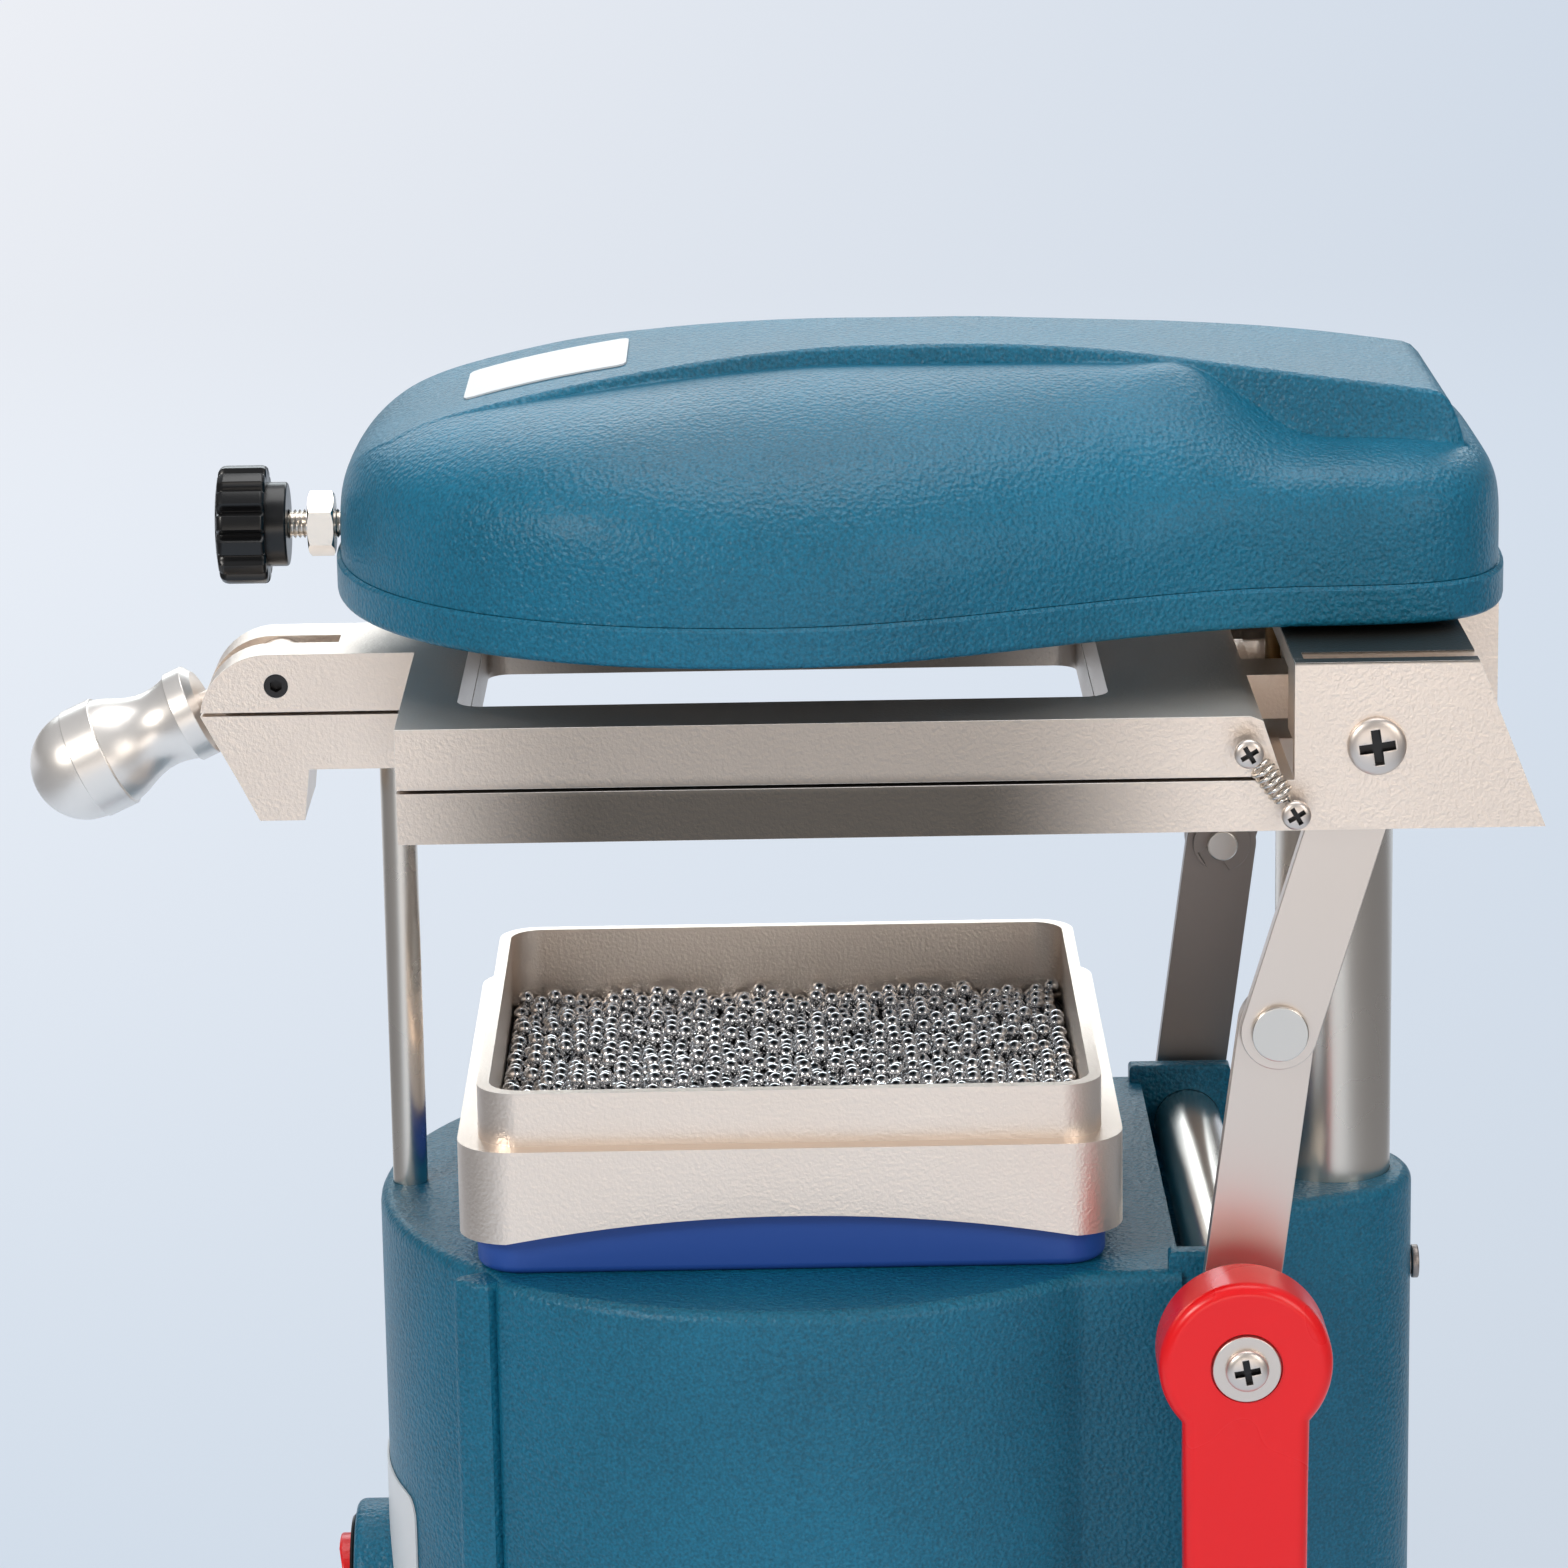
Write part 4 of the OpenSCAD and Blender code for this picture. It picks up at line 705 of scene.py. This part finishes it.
def from_node(name, node, width=0.4, steps=2, angle=35, smooth=38, edge_highlight=None):
    """A copy of a CAD node, its triangles merged and its edges rounded, with a painted-highlight finish on
    the rounded edges if given.
    """
    let_go()
    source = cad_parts[node]
    piece = bpy.data.objects.new(name, source.data.copy())
    scene.collection.objects.link(piece)
    piece.data.materials.clear()
    if edge_highlight:
        piece.data.materials.append(cast_nickel)
        piece.data.materials.append(edge_highlight)
    hold(piece)
    bpy.ops.object.mode_set(mode="EDIT")
    bpy.ops.mesh.select_all(action="SELECT")
    bpy.ops.mesh.remove_doubles(threshold=0.000004)
    bpy.ops.mesh.dissolve_limited(angle_limit=math.radians(0.6))
    bpy.ops.object.mode_set(mode="OBJECT")
    return soften(piece, width, steps, angle, smooth)


for name, node, body, width, material in (
    ("lower_sheet_frame", "lower_frame", "carriage", 0.6, frame_nickel),
    ("carriage_casting", "carriage_block", "carriage", 0.6, frame_nickel),
    ("upper_sheet_frame", "upper_frame", "top_frame", 0.6, frame_nickel),
    ("model_cup", "bead_cup", "base", 0.5, cast_nickel),
    ("head_bearing", "head_hub", "head", 0.5, cast_nickel),
    ("latch_arm", "latch_lever", "latch", 0.4, cast_nickel),
):
    casting = from_node(name, node, width, edge_highlight=painted_edge_highlight)
    settle(casting, body, "cast_metal", material, node)

# Posts, shaft and pins: drawn steel bar, polished along its length or turned on a
# lathe, and pressed or screwed into the castings.
polished = satin_metal("polished_steel", (0.84, 0.77, 0.69), 0.26, 500, 0.000015, (1, 1, 0.02))
turned_steel = satin_metal("turned_steel", (0.82, 0.77, 0.71), 0.22, 700, 0.00002, (0.03, 1, 1))
plated = satin_metal("plated_bar", (0.80, 0.72, 0.66), 0.36, 700, 0.00003, (1, 1, 0.05))
# A darker plating: the own finish of the bottom cover and the set screw, and painted shade on the far arm,
# link and clip.
dull_bar_and_painted_shade = satin_metal("dull_bar_and_painted_shade", (0.34, 0.30, 0.28), 0.38, 700, 0.00003, (1, 1, 0.05))

for node, body, material in (
    ("rear_post", "base", polished), ("guide_rod", "carriage", polished),
    ("head_bolt", "base", turned_steel),
    ("lift_shaft", "crank", turned_steel), ("knee_pin_near", "crank", turned_steel),
    ("knee_pin_far", "crank", turned_steel), ("knee_head_near", "crank", turned_steel),
    ("hinge_pin", "carriage", turned_steel), ("cover_screws", "base", turned_steel),
):
    settle(from_node(node + "_part", node, 0.25), body, "bright_steel", material, node)

# Lift arms, links and inner sheet parts: punched flat steel, zinc plated. The far
# arm, link and clip take a darker copy of the plating as painted shade; the bottom cover and the set screw
# are duller of their own.
for node, body, material in (
    ("crank_arm_near", "crank", plated), ("crank_arm_far", "crank", dull_bar_and_painted_shade),
    ("link_near", "near_link", plated), ("link_far", "far_link", dull_bar_and_painted_shade),
    ("knee_clip_far", "crank", dull_bar_and_painted_shade), ("lever_washer", "crank", plated),
    ("head_washer", "base", plated), ("heater_dish", "head", plated), ("heater_studs", "head", plated),
    ("post_set_screw", "base", dull_bar_and_painted_shade), ("bottom_cover", "base", dull_bar_and_painted_shade),
):
    settle(from_node(node + "_part", node, 0.2), body, "plain_steel", material, node)

# Silicone pad: a soft blue moulded plate with round edges and a hole for the air,
# laid on the housing under the cup.
silicone, tree, shader, add = node_tree("blue_silicone")
shader.inputs["Base Color"].default_value = (0.022, 0.085, 0.38, 1)
shader.inputs["Roughness"].default_value = 0.42
shader.inputs["Specular IOR Level"].default_value = 0.4
where = add("ShaderNodeTexCoord")
skin = add("ShaderNodeTexNoise", Scale=600.0, Detail=2.0)
bump = add("ShaderNodeBump", Strength=0.3, Distance=0.00004)
tree.links.new(where.outputs["Object"], skin.inputs["Vector"])
tree.links.new(skin.outputs["Fac"], bump.inputs["Height"])
tree.links.new(bump.outputs["Normal"], shader.inputs["Normal"])


def round_square(half, r, steps=8):
    """A square outline with round corners."""
    c = half - r
    corners = ((c, c, 0), (-c, c, 90), (-c, -c, 180), (c, -c, 270))
    return [p for cx, cy, a in corners for p in arc(cx, cy, r, a, a + 90, steps)]


pad = outline_block("seal_pad", round_square(52.1, 7.5), base_top, 150.6)
bevel_edges(pad, lambda v: v.z < base_top + 0.1, 1.4, 4)
join_in(pad, rod("pad_hole", "Z", 9, 130, 160, (0, 0)))
soften(pad, 0.3, 2, 50, 45)
settle(pad, "base", "blue_silicone", silicone, "silicone_pad")

# Beads: loose chrome-steel shot of 2.9 mm that fills the cup. The top layers are
# single balls, and the fill below them is one body painted dark as the shade between the balls.
bead_steel = satin_metal("bead_steel", (0.80, 0.80, 0.81), 0.17, 300, 0.000005)
# Painted shade: a dark colour for the fill under the top balls.
painted_shade_bed = satin_metal("painted_shade_bed", (0.10, 0.10, 0.105), 0.5, 700, 0.00004)
random.seed(4)
bead_r = 1.46
let_go()
bpy.ops.mesh.primitive_ico_sphere_add(subdivisions=2, radius=bead_r / 1000)
ball = bpy.context.active_object
ball_points = [v.co.copy() for v in ball.data.vertices]
ball_faces = [tuple(p.vertices) for p in ball.data.polygons]
bpy.data.objects.remove(ball)
pitch, rows_apart = 3.02, 2.62
places = []
for layer, (chance, level) in enumerate(((1.0, 157.9), (0.42, 159.8))):
    row = 0
    y = -47.6 + layer * 0.7
    while y < 47.9:
        x = -47.6 + (row % 2) * pitch / 2 + layer * pitch / 2
        while x < 47.9:
            if random.random() < chance:
                places.append((x + random.uniform(-0.35, 0.35), y + random.uniform(-0.35, 0.35),
                               level + random.uniform(-0.4, 0.4)))
            x += pitch
        y += rows_apart
        row += 1
points, faces = [], []
limit = 49.4 - bead_r
for x, y, z in places:
    x, y = max(-limit, min(limit, x)), max(-limit, min(limit, y))
    turn = Matrix.Rotation(random.uniform(0, 6.28), 3, "Z")
    start = len(points)
    middle = Vector((x, y, z)) / 1000
    points += [middle + turn @ p for p in ball_points]
    faces += [tuple(start + i for i in f) for f in ball_faces]
shot = bpy.data.meshes.new("shot")
shot.from_pydata(points, [], faces)
beads = bpy.data.objects.new("bead_fill", shot)
scene.collection.objects.link(beads)
hold(beads)
bpy.ops.object.shade_smooth()
settle(beads, "base", "bright_steel", bead_steel, "steel_beads")
bed = outline_block("bead_bed", round_square(49.3, 5.5), 152.65, 157.2)
soften(bed, 0.3)
settle(bed, "base", "bright_steel", painted_shade_bed)

# Lift lever: glossy red moulded plastic, a thick round hub with a long flat handle
# flush with its face. It is pushed on the shaft and held by a screw and a washer.


def gloss_plastic(name, color, rough=0.25, coat=0.3):
    """Moulded plastic with a faint flow ripple and a soft shine."""
    made, tree, shader, add = node_tree(name)
    shader.inputs["Coat Weight"].default_value = coat
    shader.inputs["Coat Roughness"].default_value = 0.12
    where = add("ShaderNodeTexCoord")
    ripple = add("ShaderNodeTexNoise", Scale=180.0, Detail=2.0)
    clouds = add("ShaderNodeTexNoise", Scale=22.0, Detail=2.0)
    bump = add("ShaderNodeBump", Strength=0.18, Distance=0.00006)
    tone = add("ShaderNodeValToRGB")
    tone.color_ramp.elements[0].color = (*[c * 0.93 for c in color], 1)
    tone.color_ramp.elements[1].color = (*[min(1, c * 1.05) for c in color], 1)
    gloss = add("ShaderNodeMapRange")
    gloss.inputs["To Min"].default_value = rough - 0.04
    gloss.inputs["To Max"].default_value = rough + 0.06
    link = tree.links.new
    link(where.outputs["Object"], ripple.inputs["Vector"])
    link(where.outputs["Object"], clouds.inputs["Vector"])
    link(ripple.outputs["Fac"], bump.inputs["Height"])
    link(clouds.outputs["Fac"], tone.inputs["Fac"])
    link(clouds.outputs["Fac"], gloss.inputs["Value"])
    link(tone.outputs["Color"], shader.inputs["Base Color"])
    link(gloss.outputs["Result"], shader.inputs["Roughness"])
    link(bump.outputs["Normal"], shader.inputs["Normal"])
    return made


red_plastic = gloss_plastic("red_plastic", (0.93, 0.006, 0.009), 0.27, 0.06)
hub_r = 14
grip = arc(shaft_y, shaft_z, hub_r, -42.9, 222.9, 96)
grip += [(shaft_y - 10.1, shaft_z - 20), (shaft_y - 9.65, shaft_z - 92)]
grip += arc(shaft_y, shaft_z - 98.3, 9.6, 180, 360, 16)
grip += [(shaft_y + 9.65, shaft_z - 92), (shaft_y + 10.1, shaft_z - 20)]
lever = outline_block("lift_lever", grip, 75.4, 82, "X")
bevel_edges(lever, lambda v: v.x > 81.9, 2.0, 5)
bevel_edges(lever, lambda v: v.x < 75.5 and v.z < shaft_z - 15, 1.6, 4)
hub = rod("hub", "X", hub_r - 0.04, 70, 78, (shaft_y, shaft_z), 128)
bevel_edges(hub, lambda v: v.x < 70.1, 1.0, 3)
join_in(lever, hub, "UNION")
join_in(lever, rod("boss", "X", 10, 66, 70.5, (shaft_y, shaft_z), 96), "UNION")
join_in(lever, rod("shaft_seat", "X", 6.05, 60, 78.6, (shaft_y, shaft_z)))
join_in(lever, rod("screw_hole", "X", 2.6, 60, 90, (shaft_y, shaft_z), 32))
join_in(lever, rod("washer_seat", "X", 5.8, 81, 90, (shaft_y, shaft_z)))
soften(lever, 0.35, 2, 50, 40)
settle(lever, "crank", "red_plastic", red_plastic, "red_lever")

# Screws: steel pan heads, zinc plated, with a cross recess that is painted dark as the shade inside it.
# Two hold the side plates, one the lever, and two small ones the spring.
# A black finish: the own colour of the latch pin and the heater plate, and painted shade in the screw
# recesses.
black_oxide_and_recess_shade = satin_metal("black_oxide_and_recess_shade", (0.05, 0.05, 0.052), 0.4, 900, 0.00003)


def turned(name, profile, start, along, sides=64):
    """A profile of distance and radius in millimetres, spun round an axis from a start point."""
    let_go()
    bpy.ops.mesh.primitive_circle_add(vertices=len(profile), fill_type="NOTHING")
    piece = bpy.context.active_object
    piece.name = name
    for vertex, (reach, radius) in zip(piece.data.vertices, profile):
        vertex.co = Vector((radius, 0, reach)) / 1000
    last = len(profile) - 1
    bpy.ops.object.mode_set(mode="EDIT")
    shape = bmesh.from_edit_mesh(piece.data)
    closing = [e for e in shape.edges if {v.index for v in e.verts} == {0, last}]
    bmesh.ops.delete(shape, geom=closing, context="EDGES")
    bmesh.update_edit_mesh(piece.data)
    bpy.ops.mesh.select_all(action="SELECT")
    bpy.ops.mesh.spin(steps=sides, angle=2 * math.pi, center=(0, 0, 0), axis=(0, 0, 1))
    bpy.ops.mesh.select_all(action="SELECT")
    bpy.ops.mesh.remove_doubles(threshold=0.000002)
    bpy.ops.mesh.normals_make_consistent(inside=False)
    bpy.ops.object.mode_set(mode="OBJECT")
    piece.rotation_mode = "QUATERNION"
    piece.rotation_quaternion = Vector(along).to_track_quat("Z", "Y")
    piece.location = Vector(start) / 1000
    fix_place(piece)
    return piece


dome_power = 0.55
dome_foot = 0.35


def cross_screw(name, place, side, head_r, head_h, shank_r, shank, slot, turn=20):
    """A pan-head screw along X on one side of the machine, with its recess turned by an angle."""
    dome = [(0, 0), (0, head_r)]
    for a in range(0, 90, 12):
        rise, reach = math.sin(math.radians(a)), math.cos(math.radians(a)) ** dome_power
        dome.append((head_h * (dome_foot + (1 - dome_foot) * rise), head_r * reach))
    dome += [(head_h, 0)]
    piece = turned(name, dome, place, (side, 0, 0), 48)
    for extra in (0, 90):
        bar = block("bar", (-slot, slot), (-slot / 3.8, slot / 3.8), (head_h * 0.1, head_h * 2))
        bar.rotation_mode = "QUATERNION"
        bar.rotation_quaternion = Vector((side, 0, 0)).to_track_quat("Z", "Y") @ Quaternion(
            (0, 0, 1), math.radians(turn + extra))
        bar.location = Vector(place) / 1000
        join_in(piece, fix_place(bar))
    stem = rod("stem", "X", shank_r, place[0] + side * 0.05, place[0] - side * shank, place[1:], 32)
    join_in(piece, stem, "UNION")
    soften(piece, 0.1, 2, 50, 40)
    piece.data.materials.append(plated)
    piece.data.materials.append(black_oxide_and_recess_shade)
    # Painted shade: the faces deep in the cross recess take the black finish.
    for face in piece.data.polygons:
        x, y, z = face.center * 1000
        r = math.hypot(y - place[1], z - place[2])
        round_off = min(1, r / head_r) ** (1 / dome_power)
        skin = head_h * (dome_foot + (1 - dome_foot) * math.sqrt(1 - round_off ** 2))
        if r < slot and side * (x - place[0]) < skin - 0.22:
            face.material_index = 1
    return piece


for side, word in ((1, "near"), (-1, "far")):
    bolt = cross_screw("pivot_bolt_" + word, (side * 68, post_y, 231.4), side, 4.7, 1.7, 2.45, 3, 2.9, 8)
    settle(bolt, "carriage", "plain_steel", plated, "pivot_screw_" + word)
lever_bolt = cross_screw("lever_bolt", (82.6, shaft_y, shaft_z), 1, 3.5, 1.6, 2, 16.5, 2.1, 10)
settle(lever_bolt, "crank", "plain_steel", plated, "lever_screw")
high, low_end = (73.4, 231.5), (80.9, 221.4)
for name, (y, z), body, node, tip in (
    ("spring_post_high", high, "top_frame", "spring_screw_high", 11.6),
    ("spring_post_low", low_end, "carriage", "spring_screw_low", 7.6),
):
    bolt = cross_screw(name, (72.4, y, z), 1, 2.35, 1.3, 1.15, tip, 1.5, 30)
    settle(bolt, body, "bright_steel", plated, node)

# Coil spring: fine steel wire between the two small screws, with a hook round
# each screw's neck, so that the upper frame is pulled down at its hinge.
spring_x, coil_r, wire_r = 70.5, 1.75, 0.34
start, end = Vector((0, *high)), Vector((0, *low_end))
axis = (end - start).normalized()
across_y = Vector((1, 0, 0))
across_z = axis.cross(across_y)
span = (end - start).length
hook = 1.6
wire = []
for i in range(13):
    a = math.radians(100 - 280 * i / 12)
    wire.append(start + hook * (axis * -math.cos(a) + across_z * math.sin(a)) + across_y * (0.25 * i / 12))
turns, begin = 6.5, hook + 1.0
steps = int(turns * 16)
for i in range(steps + 1):
    t = i / steps
    grow = min(1, 0.35 + 3 * min(t, 1 - t) * 2.2)
    a = 2 * math.pi * turns * t
    wire.append(start + axis * (begin + (span - 2 * begin) * t)
                + coil_r * grow * (across_y * math.sin(a) + across_z * math.cos(a)))
for i in range(13):
    a = math.radians(-180 + 280 * i / 12)
    bend = hook * (axis * math.cos(a) + across_z * math.sin(a))
    wire.append(end + bend - across_y * (0.25 * (1 - i / 12)))
path = bpy.data.curves.new("spring_path", "CURVE")
path.dimensions = "3D"
line = path.splines.new("POLY")
line.points.add(len(wire) - 1)
for point, place in zip(line.points, wire):
    point.co = (*((place + Vector((spring_x, 0, 0))) / 1000), 1)
path.bevel_depth = wire_r / 1000
path.bevel_resolution = 3
path.use_fill_caps = True
spring = bpy.data.objects.new("hinge_spring", path)
scene.collection.objects.link(spring)
hold(spring)
bpy.ops.object.convert(target="MESH")
spring = bpy.context.active_object
bpy.ops.object.shade_smooth()
spring.data.materials.append(turned_steel)
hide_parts("frame_spring")
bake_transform(spring)

# Ball handle: turned from bar on a lathe, satin nickel plated, and screwed on the
# threaded end of the latch lever, which points 25 degrees down.
lean = math.radians(25)
out = Vector((0, -math.cos(lean), -math.sin(lean)))
profile = [(24.2, 0.0), (24.2, 2.55), (14.3, 2.55), (14.3, 6.5)]
profile += [(15.4, 7.95), (15.6, 8.05), (18.6, 8.05), (18.75, 7.95), (18.8, 7.6)]
profile += [(20.2, 7.15), (21.7, 6.85), (23.2, 6.75), (24.8, 6.9)]
profile += [(26.4, 7.3), (28.0, 7.95), (29.5, 8.65), (30.9, 9.15)]
profile += [(31.9, 9.38), (32.0, 9.7), (32.15, 9.8), (37.3, 9.8), (37.45, 9.7), (37.5, 9.52)]
for a in range(5, 90, 5):
    profile.append((37.5 + 9.3 * math.sin(math.radians(a)), 9.5 * math.cos(math.radians(a))))
profile += [(46.8, 0)]
ball = turned("ball_grip", profile, (0, -85, 231.1), out, 96)
soften(ball, 0, smooth=28)
drawn = satin_metal("turned_nickel", (0.98, 0.93, 0.88), 0.33, 900, 0.00002)
drawn.node_tree.nodes["Principled BSDF"].inputs["Metallic"].default_value = 0.8
settle(ball, "latch", "bright_steel", drawn, "ball_handle")

# Knob: black moulded hand knob with fourteen finger grooves, a low domed face and a
# collar. It is screwed on the steel stud of the head.
black_plastic = gloss_plastic("black_plastic", (0.0045, 0.0045, 0.005), 0.28, 0.05)
grooves, steps_round = 14, 224
rim_r, groove_depth = 10, 1.3
face_y, rear_y, collar_y = -94.4, -86.2, -82.8
collar_r, thread_r = 7.1, 2.52
face_round, rear_round, collar_round = 1.3, 0.8, 0.5


def knob_reach(turn, inset):
    """The grooved rim: how far it reaches at a turn from 0 to 1."""
    return rim_r - inset - groove_depth * max(0.0, math.cos(2 * math.pi * grooves * turn)) ** 1.6


def quarter(count, first=0):
    """Sine and rest of the cosine over a quarter turn, for a rounded edge."""
    angles = [math.pi / 2 * k / count for k in range(first, count + 1)]
    return [(math.sin(a), 1 - math.cos(a)) for a in angles]


# Each ring has its place along Y, and a radius or the inset of the grooved rim.
rings = [(face_y - 0.5, 0, None), (face_y - 0.42, 5, None)]
rings += [(face_y - 0.25, 7.0, None), (face_y, 7.25, None)]
rings += [(face_y + face_round * rest, None, face_round * (1 - sine)) for sine, rest in quarter(4)]
rings += [(rear_y - rear_round * (1 - sine), None, rear_round * rest) for sine, rest in quarter(3)]
rings += [(rear_y, collar_r, None), (collar_y - collar_round, collar_r, None)]
rings += [(collar_y - collar_round * (1 - sine), collar_r - collar_round * rest, None)
          for sine, rest in quarter(3, 1)]
rings += [(collar_y, thread_r, None), (-90.1, thread_r, None), (-90.1, 0, None)]
let_go()
bpy.ops.mesh.primitive_grid_add(x_subdivisions=steps_round, y_subdivisions=len(rings) - 1, size=1)
knob = bpy.context.active_object
knob.name = "hand_knob"
for row, (y, radius, rim_inset) in enumerate(rings):
    for col in range(steps_round + 1):
        turn = (col % steps_round) / steps_round
        reach = radius if rim_inset is None else knob_reach(turn, rim_inset)
        a = 2 * math.pi * turn
        knob.data.vertices[row * (steps_round + 1) + col].co = Vector(
            (reach * math.cos(a), y, knob_z + reach * math.sin(a))) / 1000
bpy.ops.object.mode_set(mode="EDIT")
bpy.ops.mesh.select_all(action="SELECT")
bpy.ops.mesh.remove_doubles(threshold=0.000002)
bpy.ops.mesh.normals_make_consistent(inside=False)
bpy.ops.object.mode_set(mode="OBJECT")
soften(knob, 0, smooth=35)
settle(knob, "head", "black_plastic", black_plastic, "knob")

# Stud and nut of the knob: a steel stud with a rolled M5 thread, and a hexagon nut
# with turned corners that locks it against the head.
stud_y, thread_pitch = -90, 0.8
profile = [(0, 0), (0, 2.45)]
for i in range(24):
    profile += [(reach + thread_pitch * i, r) for reach, r in ((0.3, 2.47), (0.6, 2.05), (0.75, 2.05))]
profile += [(19.6, 2.47), (25.5, 2.47), (25.5, 0)]
stud = turned("thread_stud", profile, (0, stud_y, knob_z), (0, 1, 0), 40)
soften(stud, 0, smooth=30)
settle(stud, "head", "bright_steel", turned_steel, "knob_stud")
nut_y, nut_h, nut_corner = -79.4, 4.4, 5.6
hexagon = [(nut_corner * math.cos(math.radians(a)), knob_z + nut_corner * math.sin(math.radians(a)))
           for a in range(30, 390, 60)]
nut = outline_block("hex_nut", hexagon, nut_y, nut_y + nut_h, "Y")
profile = [(0, 0), (0, 4.9), (0.45, 5.75), (nut_h - 0.45, 5.75), (nut_h, 4.9), (nut_h, 0)]
dome = turned("dome", profile, (0, nut_y, knob_z), (0, 1, 0))
join_in(nut, dome, "INTERSECT")
join_in(nut, rod("nut_bore", "Y", thread_r, -85, -70, (0, knob_z), 40))
soften(nut, 0.12, 2, 20, 35)
settle(nut, "head", "bright_steel", turned_steel, "stud_nut")

# Printed plates: blank white film with round corners, one glued round the front wall
# of the housing, with holes for the switch pods, and one on the spine of the head.
wall_r = 71.05
front_w, front_h, front_z, front_corner = 30, 40, 52, 4
film = gloss_plastic("white_film", (0.80, 0.81, 0.82), 0.4, 0.0)
columns, rows = 24, 30
let_go()
bpy.ops.mesh.primitive_grid_add(x_subdivisions=columns, y_subdivisions=rows, size=2)
plate = bpy.context.active_object
plate.name = "front_plate"
for vertex in plate.data.vertices:
    u, v = vertex.co.x, vertex.co.y
    x, z = front_w * u, front_z + front_h * v
    over_x = abs(x) - (front_w - front_corner)
    over_z = abs(z - front_z) - (front_h - front_corner)
    if over_x > 0 and over_z > 0:
        far = math.hypot(over_x, over_z)
        if far > front_corner:
            x = math.copysign(front_w - front_corner + over_x * front_corner / far, x)
            z = front_z + math.copysign(front_h - front_corner + over_z * front_corner / far, z - front_z)
    a = x / wall_r
    vertex.co = Vector(((wall_r + 0.03) * math.sin(a), -(wall_r + 0.03) * math.cos(a), z)) / 1000
face_out(thicken(plate, 0.35, 1))
for z in switch_heights:
    join_in(plate, rod("gap", "Y", 14.8, -80, -60, (0, z), 96))
soften(plate, 0, smooth=30)
settle(plate, "base", "white_plate", film, "front_label")

label_w, label_l, label_y, label_corner = 13, 13.5, -38.5, 1.5
let_go()
bpy.ops.mesh.primitive_grid_add(x_subdivisions=16, y_subdivisions=18, size=2)
plate = bpy.context.active_object
plate.name = "head_plate"
for vertex in plate.data.vertices:
    u, v = vertex.co.x, vertex.co.y
    x, y = label_w * u, label_y + label_l * v
    over_x = abs(x) - (label_w - label_corner)
    over_y = abs(y - label_y) - (label_l - label_corner)
    if over_x > 0 and over_y > 0:
        far = math.hypot(over_x, over_y)
        if far > label_corner:
            x = math.copysign(label_w - label_corner + over_x * label_corner / far, x)
            y = label_y + math.copysign(label_l - label_corner + over_y * label_corner / far, y - label_y)
    vertex.co = Vector((x, y, head_height(x, y, inset) + 0.06)) / 1000
thicken(plate, 0.3, 1)
soften(plate, 0, smooth=30)
settle(plate, "head", "white_plate", film, "head_label")

# Switches: round black bodies with a flange, pushed into the pods of the housing.
# The red rockers have a hollow face and tilt on a pin across the body.
rocker_y = -74.6
for z, word in zip(switch_heights, ("heat", "vacuum")):
    profile = [(0, 9.7), (0, 10.6), (7.9, 10.6), (7.9, 11.6), (8.3, 11.8), (8.7, 11.4), (8.7, 10.2)]
    profile += [(8.3, 9.7), (0, 9.7)]
    bezel = turned(word + "_bezel", profile, (0, -69.5, z), (0, -1, 0), 96)
    join_in(bezel, rod("pin_hole", "X", 1.26, -20, 20, (rocker_y, z), 24))
    soften(bezel, 0, smooth=35)
    settle(bezel, "base", "black_plastic", black_plastic, word + "_switch_body")
    rocker = rod(word + "_button", "Y", 8.5, -80.4, -73.4, (0, z), 96)
    join_in(rocker, rod("dish", "X", 40, -12, 12, (-118.9, z - 3.4), 256))
    bevel_edges(rocker, lambda v: v.y < -78, 0.5, 3)
    join_in(rocker, rod("trunnion", "X", 1.2, -10, 10, (rocker_y, z), 24), "UNION")
    soften(rocker, 0, smooth=40)
    settle(rocker, word + "_rocker_body", "red_plastic", red_plastic, word + "_rocker")

# Mains inlet: a black moulded socket with a flange, snapped into the rear wall, and
# three plated blades that stand on its floor.
inlet = block("inlet_socket", (-54, -27), (68.5, 80.5), (20.1, 39.9))
flange = block("flange", (-56, -25), (80.5, 82.5), (18.1, 41.9))
join_in(inlet, flange, "UNION")
join_in(inlet, block("cavity", (-52, -29), (70, 90), (22.1, 37.9)))
soften(inlet, 0.5, 3, 40, 40)
settle(inlet, "base", "black_plastic", black_plastic, "mains_inlet")
blades = from_node("inlet_blades", "inlet_pins", 0.3)
settle(blades, "base", "bright_steel", turned_steel, "inlet_pins")

# Sole, duct and motor: a glued rubber ring under the base, a rubber duct and a black
# motor, with the bronze bush of the carriage, the latch pin and the heater plate.
rubber = gloss_plastic("black_rubber", (0.018, 0.018, 0.019), 0.6, 0.0)
for node, slot, material in (
    ("sole_ring", "black_rubber", rubber), ("suction_duct", "black_rubber", rubber),
    ("vacuum_motor", "black_steel", black_plastic),
):
    settle(from_node(node + "_part", node, 0.5), "base", slot, material, node)
bronze = satin_metal("bush_bronze", (0.62, 0.42, 0.20), 0.3, 700, 0.00002)
settle(from_node("sleeve_bush", "post_bush", 0.2), "carriage", "bush_bronze", bronze, "post_bush")
settle(from_node("latch_axle", "latch_pin", 0.2), "top_frame", "black_steel", black_oxide_and_recess_shade, "latch_pin")
settle(from_node("hot_plate", "heater_plate", 0.4), "head", "black_steel", black_oxide_and_recess_shade, "heater_plate")

# Size of the dressed model.
low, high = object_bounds()
